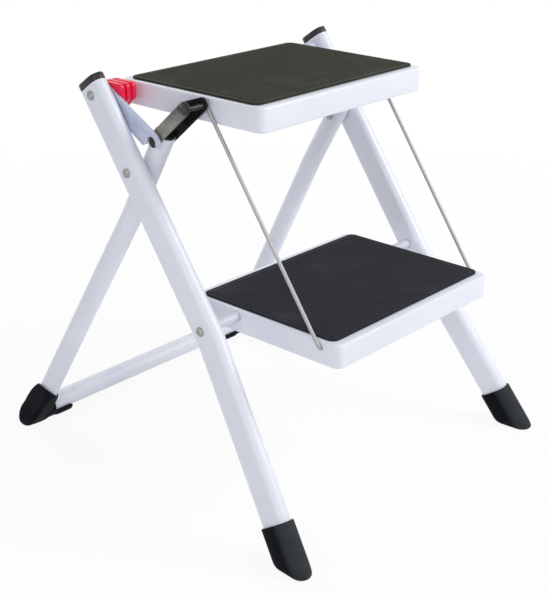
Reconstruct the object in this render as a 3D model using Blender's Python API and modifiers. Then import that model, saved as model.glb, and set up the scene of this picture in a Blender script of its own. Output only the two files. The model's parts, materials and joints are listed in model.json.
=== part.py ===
"""Folding two-step stool: flat-oval front stiles, a round-tube rear frame that crosses them, two pressed
steel treads hung on thin rods, and on the left a channel link that ties the rear frame to the top tread.

Axes: +Z up, the treads face -Y, the origin is on the floor under the middle of the stool.
"""

import math

import bmesh
import bpy
from mathutils import Matrix, Vector

# Overall stance, in metres and degrees
PLATFORM_HEIGHT = 0.480
STEP_RISE = 0.2385
TOP_HINGE_Y = 0.0862
HINGE_DROP = 0.012
STILE_LEAN = 34.9
REAR_LEAN = 29.5

# Gaps between pieces that touch, and between pieces that slide past each other
SEAT_GAP = 0.0003
SLIDE_GAP = 0.0006

# Front stiles: flat-oval tube, parallel above and spread below the lower tread
STILE_DEPTH = 0.038
STILE_WIDTH = 0.020
TUBE_WALL = 0.0015
STILE_TOP_REACH = 0.0105
STILE_BEND_BELOW_HINGE = 0.012
STILE_BEND_RADIUS = 0.080
STILE_SPREAD = 0.0315
CAP_HEIGHT = 0.008
CAP_PLUG = 0.006
CAP_EDGE = 0.0024
FOOT_WALL = 0.003
FOOT_SOLE = 0.004
FOOT_HEIGHT = 0.044
FOOT_TOE_RADIUS = 0.0065
FOOT_HEEL_RADIUS = 0.003

# Rear frame: round tube legs, spread towards the floor, and a crossbar just above it
REAR_TUBE = 0.025
CROSS_DROP = 0.0960
PROP_ARM = 0.0388
REAR_TOP_REACH = 0.0095
REAR_BEND_BELOW_PIVOT = 0.080
REAR_BEND_RADIUS = 0.120
REAR_SPREAD = 0.0317
SHOE_WALL = 0.0033
SHOE_SOLE = 0.003
SHOE_TOE_WALL = 0.0043
SHOE_HEIGHT = 0.042
SHOE_CRADLE = 0.046
SHOE_TOE = 0.0285
SHOE_EDGE = 0.005
LEG_PLUG_STEM = 0.004
LEG_PLUG_DOME = 0.0028

# Treads: pressed steel pans with a turned-in hem, and ribbed rubber mats
PAN_WIDTH = 0.2866
PAN_DEPTH = 0.222
PAN_SKIRT = 0.028
PAN_SHEET = 0.0015
PAN_HEM = 0.008
PAN_CORNER = 0.0105
PAN_EDGE = 0.0028
MAT_WIDTH = 0.2770
MAT_DEPTH = 0.2000
MAT_THICKNESS = 0.0032
MAT_CORNER = 0.009
MAT_EDGE = 0.0008
LOWER_PAN_BEHIND_HINGE = 0.0715

# Hanger rods, the channel link and the safety catch
ROD_DIAMETER = 0.0045
ROD_TAIL = 0.0045
HANGER_ARM = 0.126
CLIP_DIAMETER = 0.011
CLIP_THICKNESS = 0.0008
LINK_SHEET = 0.0015
LINK_OPEN_REACH = 0.006
LINK_BACK_REACH = 0.0095
LINK_WEB_START = 0.018
CATCH_SHEET = 0.0020
CATCH_HUB_RADIUS = 0.011
CATCH_NOTCH_RADIUS = 0.0072
CATCH_HOOK_RADIUS = 0.0145
CATCH_MOUTH_FRONT = 200
CATCH_MOUTH_REAR = -20
THUMB_WIDTH = 0.022
THUMB_FRONT = 0.026
THUMB_BACK = 0.015
THUMB_ABOVE = 0.012
THUMB_BELOW = 0.020
THUMB_NOSE_DROP = 0.006
THUMB_CHIN = 0.0095
THUMB_HEEL = 0.0105
THUMB_HEEL_DROP = 0.014
THUMB_BACK_RISE = 0.0024
THUMB_CROWN = 0.009
THUMB_RIB = 0.0052
THUMB_GROOVE_DEPTH = 0.0030
THUMB_CORNER = 0.0045

# Fasteners
BOLT_DIAMETER = 0.006
HOLE_GAP = 0.0004
HEAD_DIAMETER = 0.0110
HEAD_HEIGHT = 0.0030
NUT_ACROSS_FLATS = 0.010
NUT_THICKNESS = 0.004
LOW_NUT_THICKNESS = 0.0018
SPACER_DIAMETER = 0.012
PIN_DIAMETER = 0.006
PIN_HEAD_DIAMETER = 0.012
PIN_HEAD_HEIGHT = 0.0008

# How finely round shapes are divided
ROUND_STEPS = 24
SMALL_ROUND_STEPS = 16
TUBE_RESOLUTION = 6
ROD_RESOLUTION = 3
CORNER_STEPS = 4
BEND_STEPS = 3
END_STEPS = 10

# The channel link and the catch are on one side only
SIDES = {"left": -1, "right": 1}
CATCH_SIDE = "left"

# A nut turns inside the top pan, so its corners stay clear of the pan's rounded corner
NUT_RADIUS = NUT_ACROSS_FLATS / 2 / math.cos(math.pi / 6)
TOP_PAN_BEHIND_HINGE = PAN_CORNER + NUT_RADIUS + SEAT_GAP

# Lanes across the stool, from the treads outwards, as distances from the middle plane
PAN_FACE_X = PAN_WIDTH / 2
ROD_X = PAN_FACE_X + SLIDE_GAP + ROD_DIAMETER / 2
LINK_INNER_X = ROD_X + ROD_DIAMETER / 2 + SLIDE_GAP
REAR_INNER_X = LINK_INNER_X + LINK_SHEET + SEAT_GAP
REAR_X = REAR_INNER_X + REAR_TUBE / 2
LINK_OUTER_X = REAR_X + REAR_TUBE / 2 + SEAT_GAP + LINK_SHEET
PIN_FACE_X = LINK_OUTER_X + SEAT_GAP + PIN_HEAD_HEIGHT
CATCH_INNER_X = PIN_FACE_X + SLIDE_GAP
CATCH_OUTER_X = CATCH_INNER_X + CATCH_SHEET
STILE_INNER_X = CATCH_OUTER_X + SLIDE_GAP
STILE_X = STILE_INNER_X + STILE_WIDTH / 2
STILE_OUTER_X = STILE_INNER_X + STILE_WIDTH

# Joint axes, as points of the middle plane
STILE_ANGLE = math.radians(STILE_LEAN)
REAR_ANGLE = math.radians(REAR_LEAN)
STILE_DOWN = Vector((0, -math.sin(STILE_ANGLE), -math.cos(STILE_ANGLE)))
REAR_DOWN = Vector((0, math.sin(REAR_ANGLE), -math.cos(REAR_ANGLE)))
TOP_HINGE = Vector((0, TOP_HINGE_Y, PLATFORM_HEIGHT - HINGE_DROP))
LOWER_HINGE = TOP_HINGE + STILE_DOWN * (STEP_RISE / math.cos(STILE_ANGLE))
CROSS_PIVOT = TOP_HINGE + STILE_DOWN * CROSS_DROP
LINK_PIVOT = CROSS_PIVOT - REAR_DOWN * PROP_ARM
HANGER_TOP = TOP_HINGE + Vector((0, -HANGER_ARM, 0))
HANGER_LOW = LOWER_HINGE + Vector((0, -HANGER_ARM, 0))

# Distances down the front stiles, from the top hinge
STILE_FLOOR = TOP_HINGE.z / math.cos(STILE_ANGLE)
STILE_BEND = (LOWER_HINGE - TOP_HINGE).length + STILE_BEND_BELOW_HINGE
STILE_END = STILE_FLOOR - (FOOT_SOLE + STILE_DEPTH / 2 * math.sin(STILE_ANGLE)) / math.cos(STILE_ANGLE)
FOOT_TOP = STILE_FLOOR - FOOT_HEIGHT / math.cos(STILE_ANGLE)
FOOT_BOTTOM = STILE_FLOOR + STILE_DEPTH

# Distances down the rear legs, from the cross pivot, and the crossbar between their feet
LEG_RADIUS = REAR_TUBE / 2
LEG_FLOOR = CROSS_PIVOT.z / math.cos(REAR_ANGLE)
LEG_FLOOR_X = REAR_X + REAR_SPREAD
LEG_TOP = -PROP_ARM - REAR_TOP_REACH
LEG_END = LEG_FLOOR - (SHOE_SOLE + LEG_RADIUS * math.sin(REAR_ANGLE)) / math.cos(REAR_ANGLE)
SHOE_TOP = LEG_FLOOR - SHOE_HEIGHT / math.cos(REAR_ANGLE)
BAR_HEIGHT = SHOE_SOLE + LEG_RADIUS + SEAT_GAP
BAR_AXIS = Vector((0, CROSS_PIVOT.y + (CROSS_PIVOT.z - BAR_HEIGHT) * math.tan(REAR_ANGLE), BAR_HEIGHT))

# A frame whose drawing plane is the stool's side view: right is +Y, up is +Z
SIDE_VIEW = Matrix(((0, 0, 1), (1, 0, 0), (0, 1, 0))).to_4x4()


def clear_scene():
    for item in list(bpy.data.objects):
        bpy.data.objects.remove(item, do_unlink=True)


def new_collection(name):
    made = bpy.data.collections.new(name)
    bpy.context.scene.collection.children.link(made)
    return made


def finish(name, colour, roughness, metallic=0.0):
    made = bpy.data.materials.new(name)
    made.use_nodes = True
    shader = made.node_tree.nodes["Principled BSDF"]
    shader.inputs["Base Color"].default_value = (*colour, 1)
    shader.inputs["Roughness"].default_value = roughness
    shader.inputs["Metallic"].default_value = metallic
    return made


def axis_empty(name, point):
    """An empty on a body's joint axis, which carries that body's pieces."""
    empty = bpy.data.objects.new(name, None)
    empty.location = point
    parts.objects.link(empty)
    bpy.context.view_layer.update()
    return empty


def place(piece, body, material):
    """Puts a finished piece in the stool's collection, on its body, with its material."""
    for holder in list(piece.users_collection):
        holder.objects.unlink(piece)
    parts.objects.link(piece)
    piece.parent = body
    piece.matrix_parent_inverse = body.matrix_world.inverted()
    piece.data.materials.clear()
    piece.data.materials.append(material)
    piece.data.shade_smooth()
    piece.data.set_sharp_from_angle(angle=math.radians(35))
    return piece


def helper(piece):
    """Marks a cutter or a shape that a union takes in, which isn't a piece by itself."""
    piece.hide_render = True
    piece.display_type = "WIRE"
    return piece


def boolean(piece, other, operation):
    modifier = piece.modifiers.new(f"{operation.lower()} {other.name}", "BOOLEAN")
    modifier.operation = operation
    modifier.solver = "EXACT"
    modifier.object = helper(other)


def cut(piece, *others):
    for other in others:
        boolean(piece, other, "DIFFERENCE")


def join(piece, *others):
    for other in others:
        boolean(piece, other, "UNION")


def round_edges(piece, width, segments=2, angle=40):
    modifier = piece.modifiers.new("rounded edges", "BEVEL")
    modifier.width = width
    modifier.segments = segments
    modifier.limit_method = "ANGLE"
    modifier.angle_limit = math.radians(angle)


def mesh_piece(name, mesh, matrix):
    piece = bpy.data.objects.new(name, mesh)
    piece.matrix_world = matrix
    cutters.objects.link(piece)
    bpy.context.view_layer.update()
    return piece


def meshed(name, curve, matrix):
    """A curve's evaluated shape as a closed mesh, with its caps welded on."""
    source = bpy.data.objects.new(f"{name}_curve", curve)
    cutters.objects.link(source)
    bpy.context.view_layer.update()
    mesh = bpy.data.meshes.new_from_object(source.evaluated_get(bpy.context.evaluated_depsgraph_get()))
    bpy.data.objects.remove(source, do_unlink=True)
    work = bmesh.new()
    work.from_mesh(mesh)
    bmesh.ops.remove_doubles(work, verts=work.verts, dist=0.00001)
    bmesh.ops.recalc_face_normals(work, faces=work.faces)
    work.to_mesh(mesh)
    work.free()
    return mesh_piece(name, mesh, matrix)


def spline_curve(name, lines, cyclic, flat=True):
    curve = bpy.data.curves.new(name, "CURVE")
    curve.dimensions = "2D" if flat else "3D"
    for points in lines:
        spline = curve.splines.new("POLY")
        spline.points.add(len(points) - 1)
        spline.use_cyclic_u = cyclic
        for place_on, point in zip(spline.points, points):
            place_on.co = (*Vector(point).to_3d(), 1)
    return curve


def prism(name, outline, low, high, matrix, holes=()):
    """A flat outline, with any holes, thickened from low to high along its normal."""
    curve = spline_curve(name, [outline, *holes], cyclic=True)
    curve.fill_mode = "BOTH"
    curve.extrude = (high - low) / 2
    return meshed(name, curve, matrix @ Matrix.Translation((0, 0, (low + high) / 2)))


def round_tube(name, points, radius, matrix, resolution=TUBE_RESOLUTION, flat=True):
    curve = spline_curve(name, [points], cyclic=False, flat=flat)
    curve.bevel_depth = radius
    curve.bevel_resolution = resolution
    curve.use_fill_caps = True
    return meshed(name, curve, matrix)


def oval_tube(name, points, width, depth, matrix):
    """A flat-oval bar swept along a path in the matrix's XY plane, its depth along the matrix's Z."""
    profile = bpy.data.objects.new(f"{name}_profile", spline_curve(name, [oval(width, depth)], cyclic=True))
    cutters.objects.link(profile)
    curve = spline_curve(name, [points], cyclic=False)
    curve.bevel_mode = "OBJECT"
    curve.bevel_object = profile
    curve.use_fill_caps = True
    bar = meshed(name, curve, matrix)
    bpy.data.objects.remove(profile, do_unlink=True)
    return bar


def turned(name, profile, matrix, steps=SMALL_ROUND_STEPS):
    """A solid of revolution about Z: profile points are (radius, height), from the top down."""
    mesh = bpy.data.meshes.new(name)
    ends = [(index, index + 1) for index in range(len(profile) - 1)]
    mesh.from_pydata([(radius, 0, height) for radius, height in profile], ends, [])
    piece = mesh_piece(name, mesh, matrix)
    modifier = piece.modifiers.new("turn", "SCREW")
    modifier.steps = steps
    modifier.render_steps = steps
    modifier.use_merge_vertices = True
    modifier.merge_threshold = 0.00001
    return piece


def rod_along_x(name, radius, x_from, x_to, point, steps=SMALL_ROUND_STEPS):
    """A round bar across the stool, used for the holes of bolts and pins."""
    work = bmesh.new()
    bmesh.ops.create_cone(
        work, cap_ends=True, segments=steps, radius1=radius, radius2=radius, depth=abs(x_to - x_from)
    )
    mesh = bpy.data.meshes.new(name)
    work.to_mesh(mesh)
    work.free()
    middle = Vector(((x_from + x_to) / 2, point.y, point.z))
    return mesh_piece(name, mesh, Matrix.Translation(middle) @ Matrix.Rotation(math.pi / 2, 4, "Y"))


def block(name, low, high):
    work = bmesh.new()
    bmesh.ops.create_cube(work, size=1)
    mesh = bpy.data.meshes.new(name)
    work.to_mesh(mesh)
    work.free()
    low, high = Vector(low), Vector(high)
    mesh.transform(Matrix.Diagonal((*(high - low), 1)))
    return mesh_piece(name, mesh, Matrix.Translation((low + high) / 2))


def hull(name, points):
    """The smallest convex solid round a set of points."""
    work = bmesh.new()
    for point in points:
        work.verts.new(point)
    bmesh.ops.convex_hull(work, input=work.verts)
    inside = [vert for vert in work.verts if not vert.link_faces]
    bmesh.ops.delete(work, geom=inside, context="VERTS")
    mesh = bpy.data.meshes.new(name)
    work.to_mesh(mesh)
    work.free()
    return mesh_piece(name, mesh, Matrix())


def dome(radius, height):
    """A low dome's profile for turning, from its crown to its rim."""
    turns = [math.pi / 2 * step / CORNER_STEPS for step in range(CORNER_STEPS + 1)]
    return [(radius * math.sin(turn), height * math.cos(turn)) for turn in turns]


def arc(centre, radius, start, end, steps):
    """Points on an arc, with its angles in degrees."""
    turns = [math.radians(start + (end - start) * step / steps) for step in range(steps + 1)]
    return [(centre[0] + radius * math.cos(turn), centre[1] + radius * math.sin(turn)) for turn in turns]


def circle(radius, centre=(0, 0), steps=SMALL_ROUND_STEPS):
    return arc(centre, radius, 0, 360, steps)[:-1]


def oval(width, depth):
    """A flat oval with round ends, long along the second axis."""
    radius = width / 2
    straight = depth / 2 - radius
    steps = SMALL_ROUND_STEPS // 2
    return arc((0, straight), radius, 0, 180, steps) + arc((0, -straight), radius, 180, 360, steps)


def rounded_rectangle(x_low, x_high, y_low, y_high, radius):
    corners = []
    centres = (
        (x_high - radius, y_low + radius),
        (x_high - radius, y_high - radius),
        (x_low + radius, y_high - radius),
        (x_low + radius, y_low + radius),
    )
    for quarter, centre in enumerate(centres):
        corners += arc(centre, radius, quarter * 90 - 90, quarter * 90, CORNER_STEPS)
    return corners


def fillet(before, corner, after, radius, steps):
    """The arc that rounds one corner of a path."""
    before, corner, after = (Vector(point).to_3d() for point in (before, corner, after))
    back = (before - corner).normalized()
    ahead = (after - corner).normalized()
    half = back.angle(ahead) / 2
    centre = corner + (back + ahead).normalized() * (radius / math.sin(half))
    first = corner + back * (radius / math.tan(half)) - centre
    last = corner + ahead * (radius / math.tan(half)) - centre
    return [centre + first.slerp(last, step / steps) * radius for step in range(steps + 1)]


def rounded_polygon(corners, radius):
    outline = []
    for index, corner in enumerate(corners):
        after = corners[(index + 1) % len(corners)]
        outline += fillet(corners[index - 1], corner, after, radius, CORNER_STEPS)
    return outline


def bent_path(start, bend, end, spread, bend_radius):
    """A bar's centre line that runs straight to the bend, then leans out to the spread it has at its end."""
    corner = (bend, 0)
    foot = (end, spread)
    rounded = fillet((start, 0), corner, foot, bend_radius, BEND_STEPS)
    return [Vector((start, 0, 0)), *rounded, Vector((*foot, 0))]


def bar_frame(sign, point, down, x):
    """The frame of a leg: X down the leg, Y outwards, origin on its axis beside the given point."""
    out = Vector((sign, 0, 0))
    columns = Matrix((down, out, down.cross(out))).transposed().to_4x4()
    return Matrix.Translation(point + out * x) @ columns


def facing_out(sign, point, x):
    """The frame of a bolt or plug whose Z points out of the stool's side."""
    turn = Vector((0, 0, 1)).rotation_difference(Vector((sign, 0, 0)))
    return Matrix.Translation(point + Vector((sign * x, 0, 0))) @ turn.to_matrix().to_4x4()


def across(sign, x_from, x_to):
    """Two distances from the middle plane as low and high X on the given side."""
    return sorted((sign * x_from, sign * x_to))


def ring(name, inner, outer, sign, x_from, x_to, point):
    """A tube or washer round an axis that runs across the stool."""
    frame = Matrix.Translation(point) @ SIDE_VIEW
    return prism(name, circle(outer), *across(sign, x_from, x_to), frame, [circle(inner)])


# Front frame


def stile_spread(along):
    return STILE_SPREAD * (along - STILE_BEND) / (STILE_FLOOR - STILE_BEND)


def stile_path(start, end):
    return bent_path(start, STILE_BEND, end, stile_spread(end), STILE_BEND_RADIUS)


def low_stile_path(start, end):
    return [(start, stile_spread(start)), (end, stile_spread(end))]


def front_stile(side, sign):
    frame = bar_frame(sign, TOP_HINGE, STILE_DOWN, STILE_X)
    path = stile_path(-STILE_TOP_REACH, STILE_END)
    stile = oval_tube(f"stile_{side}", path, STILE_WIDTH, STILE_DEPTH, frame)
    bore_width = STILE_WIDTH - 2 * TUBE_WALL
    bore_depth = STILE_DEPTH - 2 * TUBE_WALL
    bore_path = stile_path(-STILE_TOP_REACH - STILE_WIDTH, STILE_END + STILE_WIDTH)
    cut(stile, oval_tube(f"stile_bore_{side}", bore_path, bore_width, bore_depth, frame))
    for name, point in (("top", TOP_HINGE), ("cross", CROSS_PIVOT), ("lower", LOWER_HINGE)):
        ends = across(sign, STILE_INNER_X - STILE_WIDTH, STILE_OUTER_X + STILE_WIDTH)
        cut(stile, rod_along_x(f"stile_hole_{name}_{side}", BOLT_DIAMETER / 2 + HOLE_GAP, *ends, point))
    place(stile, front_frame, white_paint)


def stile_cap(side, sign):
    frame = bar_frame(sign, TOP_HINGE, STILE_DOWN, STILE_X)
    face = -STILE_TOP_REACH - SEAT_GAP
    top = [(face - CAP_HEIGHT, 0), (face, 0)]
    cap = oval_tube(f"stile_cap_{side}", top, STILE_WIDTH, STILE_DEPTH, frame)
    round_edges(cap, CAP_EDGE)
    plug_width = STILE_WIDTH - 2 * (TUBE_WALL + SEAT_GAP)
    plug_depth = STILE_DEPTH - 2 * (TUBE_WALL + SEAT_GAP)
    plug = [(face - CAP_HEIGHT / 2, 0), (face + CAP_PLUG, 0)]
    join(cap, oval_tube(f"stile_cap_plug_{side}", plug, plug_width, plug_depth, frame))
    place(cap, front_frame, black_plastic)


def front_foot(side, sign):
    frame = bar_frame(sign, TOP_HINGE, STILE_DOWN, STILE_X)
    outer_width = STILE_WIDTH + 2 * FOOT_WALL
    outer_depth = STILE_DEPTH + 2 * FOOT_WALL
    boot = low_stile_path(FOOT_TOP, FOOT_BOTTOM)
    foot = oval_tube(f"front_foot_{side}", boot, outer_width, outer_depth, frame)
    boolean(foot, foot_profile(f"front_foot_profile_{side}", outer_depth), "INTERSECT")
    pocket = low_stile_path(FOOT_TOP - FOOT_HEIGHT, STILE_END + SEAT_GAP)
    pocket_width = STILE_WIDTH + 2 * SEAT_GAP
    pocket_depth = STILE_DEPTH + 2 * SEAT_GAP
    cut(foot, oval_tube(f"front_foot_pocket_{side}", pocket, pocket_width, pocket_depth, frame))
    place(foot, front_frame, black_rubber)


def foot_profile(name, depth):
    """The boot's side view as a slab across the stool: flat sole, round toe, walls just outside the boot."""
    rise = Vector((math.tan(STILE_ANGLE), 1)) * 2 * FOOT_HEIGHT
    floor_y = (TOP_HINGE + STILE_DOWN * STILE_FLOOR).y
    reach = (depth / 2 + SEAT_GAP) / math.cos(STILE_ANGLE)
    toe = Vector((floor_y - reach, 0))
    heel = Vector((floor_y + reach, 0))
    outline = fillet(toe + rise, toe, heel, FOOT_TOE_RADIUS, 2 * CORNER_STEPS)
    outline += fillet(toe, heel, heel + rise, FOOT_HEEL_RADIUS, CORNER_STEPS)
    outline += [heel + rise, toe + rise]
    return prism(name, outline, -2 * STILE_X, 2 * STILE_X, SIDE_VIEW)


def floor_block(name):
    """Everything under the floor, to cut soles flat."""
    reach = PLATFORM_HEIGHT * 2
    return block(name, (-reach, -reach, -reach), (reach, reach, 0))


def bolt(name, sign, point, inner_x):
    """A round-head bolt from the stile's outer face to the given distance from the middle plane."""
    radius = BOLT_DIAMETER / 2
    length = STILE_OUTER_X + SEAT_GAP - inner_x
    shank = [(radius, 0), (radius, -length), (0, -length)]
    profile = dome(HEAD_DIAMETER / 2, HEAD_HEIGHT) + shank
    place(turned(name, profile, facing_out(sign, point, STILE_OUTER_X + SEAT_GAP)), front_frame, zinc_steel)


def nut(name, sign, point, x_from, x_to):
    frame = Matrix.Translation(point) @ SIDE_VIEW
    hole = circle(BOLT_DIAMETER / 2 + SEAT_GAP)
    made = prism(name, circle(NUT_RADIUS, steps=6), *across(sign, x_from, x_to), frame, [hole])
    place(made, front_frame, zinc_steel)


def spacer(name, sign, point, x_from, x_to):
    hole = BOLT_DIAMETER / 2 + SEAT_GAP
    place(ring(name, hole, SPACER_DIAMETER / 2, sign, x_from, x_to, point), front_frame, white_paint)


def tread_hinge(label, side, sign, point):
    """A bolt through stile and skirt, with a spacer tube between them and a nut inside the pan."""
    nut_face = PAN_FACE_X - PAN_SHEET - SEAT_GAP
    bolt(f"{label}_hinge_bolt_{side}", sign, point, nut_face - NUT_THICKNESS - SEAT_GAP)
    spacer(f"{label}_hinge_spacer_{side}", sign, point, PAN_FACE_X + SEAT_GAP, STILE_INNER_X - SEAT_GAP)
    nut(f"{label}_hinge_nut_{side}", sign, point, nut_face - NUT_THICKNESS, nut_face)


def cross_hinge(side, sign):
    """The bolt where a rear leg crosses its stile, with a spacer between the tubes and a thin nut inside."""
    outer = REAR_X + REAR_TUBE / 2 + SEAT_GAP
    nut_face = REAR_INNER_X - SEAT_GAP
    bolt(f"cross_bolt_{side}", sign, CROSS_PIVOT, nut_face - LOW_NUT_THICKNESS)
    spacer(f"cross_spacer_{side}", sign, CROSS_PIVOT, outer, STILE_INNER_X - SEAT_GAP)
    nut(f"cross_nut_{side}", sign, CROSS_PIVOT, nut_face - LOW_NUT_THICKNESS, nut_face)


# Rear frame


def leg_spread(along):
    return REAR_SPREAD * (along - REAR_BEND_BELOW_PIVOT) / (LEG_FLOOR - REAR_BEND_BELOW_PIVOT)


def leg_path(start, end):
    return bent_path(start, REAR_BEND_BELOW_PIVOT, end, leg_spread(end), REAR_BEND_RADIUS)


def low_leg_path(start, end):
    return [(start, leg_spread(start)), (end, leg_spread(end))]


def leg_ring(frame, along, radius):
    """A circle round the spread part of a leg, square to it, as points of the stool."""
    lean = math.atan2(REAR_SPREAD, LEG_FLOOR - REAR_BEND_BELOW_PIVOT)
    side = Vector((-math.sin(lean), math.cos(lean), 0))
    centre = Vector((along, leg_spread(along), 0))
    return [frame @ (centre + side * u + Vector((0, 0, v))) for u, v in circle(radius, steps=ROUND_STEPS)]


def rear_leg(side, sign):
    frame = bar_frame(sign, CROSS_PIVOT, REAR_DOWN, REAR_X)
    leg = round_tube(f"rear_leg_{side}", leg_path(LEG_TOP, LEG_END), LEG_RADIUS, frame)
    bore = leg_path(LEG_TOP - REAR_TUBE, LEG_END + REAR_TUBE)
    cut(leg, round_tube(f"rear_leg_bore_{side}", bore, LEG_RADIUS - TUBE_WALL, frame))
    ends = across(sign, REAR_X - REAR_TUBE, REAR_X + REAR_TUBE)
    cut(leg, rod_along_x(f"rear_leg_cross_hole_{side}", BOLT_DIAMETER / 2 + HOLE_GAP, *ends, CROSS_PIVOT))
    if side == CATCH_SIDE:
        cut(leg, rod_along_x("rear_leg_link_hole", PIN_DIAMETER / 2 + HOLE_GAP, *ends, LINK_PIVOT))
    place(leg, rear_frame, white_paint)


def leg_plug(side, sign):
    """The domed plug in a rear leg's upper end, turned about the leg's axis."""
    stem = LEG_RADIUS - TUBE_WALL - SEAT_GAP
    stem_profile = [(stem, 0), (stem, -LEG_PLUG_STEM), (0, -LEG_PLUG_STEM)]
    profile = dome(LEG_RADIUS, LEG_PLUG_DOME) + stem_profile
    top = CROSS_PIVOT + REAR_DOWN * (LEG_TOP - SEAT_GAP) + Vector((sign * REAR_X, 0, 0))
    turn = Vector((0, 0, 1)).rotation_difference(-REAR_DOWN).to_matrix().to_4x4()
    place(turned(f"leg_plug_{side}", profile, Matrix.Translation(top) @ turn), rear_frame, black_plastic)


def rear_crossbar():
    """The bar between the legs: its ends stop inside the legs and are coped to fit them."""
    leg_x = REAR_X + leg_spread((CROSS_PIVOT.z - BAR_HEIGHT) / math.cos(REAR_ANGLE))
    end_x = leg_x - LEG_RADIUS / 2
    bar = rod_along_x("rear_crossbar", LEG_RADIUS, -end_x, end_x, BAR_AXIS, ROUND_STEPS)
    bore = LEG_RADIUS - TUBE_WALL
    cut(bar, rod_along_x("crossbar_bore", bore, -LEG_FLOOR_X, LEG_FLOOR_X, BAR_AXIS, ROUND_STEPS))
    for side, sign in SIDES.items():
        frame = bar_frame(sign, CROSS_PIVOT, REAR_DOWN, REAR_X)
        seat = low_leg_path(SHOE_TOP, LEG_FLOOR + REAR_TUBE)
        cut(bar, round_tube(f"crossbar_seat_{side}", seat, LEG_RADIUS + SEAT_GAP, frame))
    place(bar, rear_frame, white_paint)


def rear_shoe(side, sign):
    """A corner shoe: a boot that runs from the leg out to a round toe, and a cradle under the crossbar."""
    frame = bar_frame(sign, CROSS_PIVOT, REAR_DOWN, REAR_X)
    inner_x = LEG_FLOOR_X - SHOE_CRADLE
    toe_radius = LEG_RADIUS + SHOE_TOE_WALL
    ends = across(sign, inner_x, LEG_FLOOR_X)
    shoe = rod_along_x(f"rear_shoe_{side}", toe_radius, *ends, BAR_AXIS, ROUND_STEPS)
    trim_x = across(sign, inner_x - SHOE_CRADLE, LEG_FLOOR_X - toe_radius)
    trim_low = (trim_x[0], BAR_AXIS.y - REAR_TUBE, BAR_HEIGHT - LEG_RADIUS / 2)
    trim_high = (trim_x[1], BAR_AXIS.y + REAR_TUBE, BAR_HEIGHT + REAR_TUBE)
    cut(shoe, block(f"rear_shoe_trim_{side}", trim_low, trim_high))
    boot = leg_ring(frame, SHOE_TOP, LEG_RADIUS + SHOE_WALL)
    boot += leg_ring(frame, LEG_END + SHOE_SOLE, LEG_RADIUS + SHOE_WALL)
    for inset, height in arc((SHOE_EDGE, toe_radius - SHOE_EDGE), SHOE_EDGE, 90, 180, CORNER_STEPS):
        x = sign * (LEG_FLOOR_X + SHOE_TOE - inset)
        boot += [Vector((x, BAR_AXIS.y + u, BAR_HEIGHT + v)) for u, v in circle(height, steps=ROUND_STEPS)]
    join(shoe, hull(f"rear_shoe_boot_{side}", boot))
    pocket = low_leg_path(SHOE_TOP - SHOE_HEIGHT, LEG_END + SEAT_GAP)
    bar_ends = across(sign, inner_x - SHOE_CRADLE, LEG_FLOOR_X)
    cut(
        shoe,
        floor_block(f"rear_shoe_floor_{side}"),
        round_tube(f"rear_shoe_pocket_{side}", pocket, LEG_RADIUS + SEAT_GAP, frame),
        rod_along_x(f"rear_shoe_channel_{side}", LEG_RADIUS + SEAT_GAP, *bar_ends, BAR_AXIS, ROUND_STEPS),
    )
    place(shoe, rear_frame, black_rubber)


def pin(name, sign, point, body):
    """A headed pin through both flanges of a link, flush on the inside."""
    radius = PIN_DIAMETER / 2
    head = PIN_HEAD_DIAMETER / 2
    length = LINK_OUTER_X + SEAT_GAP - LINK_INNER_X
    profile = [
        (0, PIN_HEAD_HEIGHT),
        (head - PIN_HEAD_HEIGHT, PIN_HEAD_HEIGHT),
        (head, 0),
        (radius, 0),
        (radius, -length),
        (0, -length),
    ]
    place(turned(name, profile, facing_out(sign, point, LINK_OUTER_X + SEAT_GAP)), body, zinc_steel)


# Treads


def tread(label, hinge, hanger, behind_hinge, body):
    top = hinge.z + HINGE_DROP
    pan_top = top - MAT_THICKNESS - SEAT_GAP
    rear = hinge.y + behind_hinge
    front = rear - PAN_DEPTH
    pan = tread_pan(label, rear, front, pan_top)
    for name, point, diameter in (("hinge", hinge, BOLT_DIAMETER), ("hanger", hanger, ROD_DIAMETER)):
        hole = diameter / 2 + HOLE_GAP
        cut(pan, rod_along_x(f"{label}_pan_{name}_hole", hole, -PAN_WIDTH, PAN_WIDTH, point))
    place(pan, body, white_paint)
    middle = (rear + front) / 2
    edges = (-MAT_WIDTH / 2, MAT_WIDTH / 2, middle - MAT_DEPTH / 2, middle + MAT_DEPTH / 2)
    mat = prism(f"{label}_mat", rounded_rectangle(*edges, MAT_CORNER), top - MAT_THICKNESS, top, Matrix())
    round_edges(mat, MAT_EDGE, segments=1)
    place(mat, body, mat_rubber)


def tread_pan(label, rear, front, top):
    """A pressed pan: flat top, rounded edge, skirt all round and a hem turned in under it."""

    def inset(by, radius):
        return rounded_rectangle(-PAN_FACE_X + by, PAN_FACE_X - by, front + by, rear - by, radius)

    bottom = top - PAN_SKIRT
    pan = prism(f"{label}_pan", inset(0, PAN_CORNER), bottom, top, Matrix())
    round_edges(pan, PAN_EDGE, angle=60)
    inside = inset(PAN_SHEET, PAN_CORNER - PAN_SHEET)
    cavity = prism(f"{label}_pan_cavity", inside, bottom + PAN_SHEET, top - PAN_SHEET, Matrix())
    round_edges(cavity, PAN_EDGE - PAN_SHEET, segments=1, angle=60)
    mouth = inset(PAN_HEM, PAN_CORNER - PAN_SHEET)
    cut(pan, cavity, prism(f"{label}_pan_mouth", mouth, bottom - PAN_SKIRT, bottom + 2 * PAN_SHEET, Matrix()))
    return pan


# Hanger rods, links and catch


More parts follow.
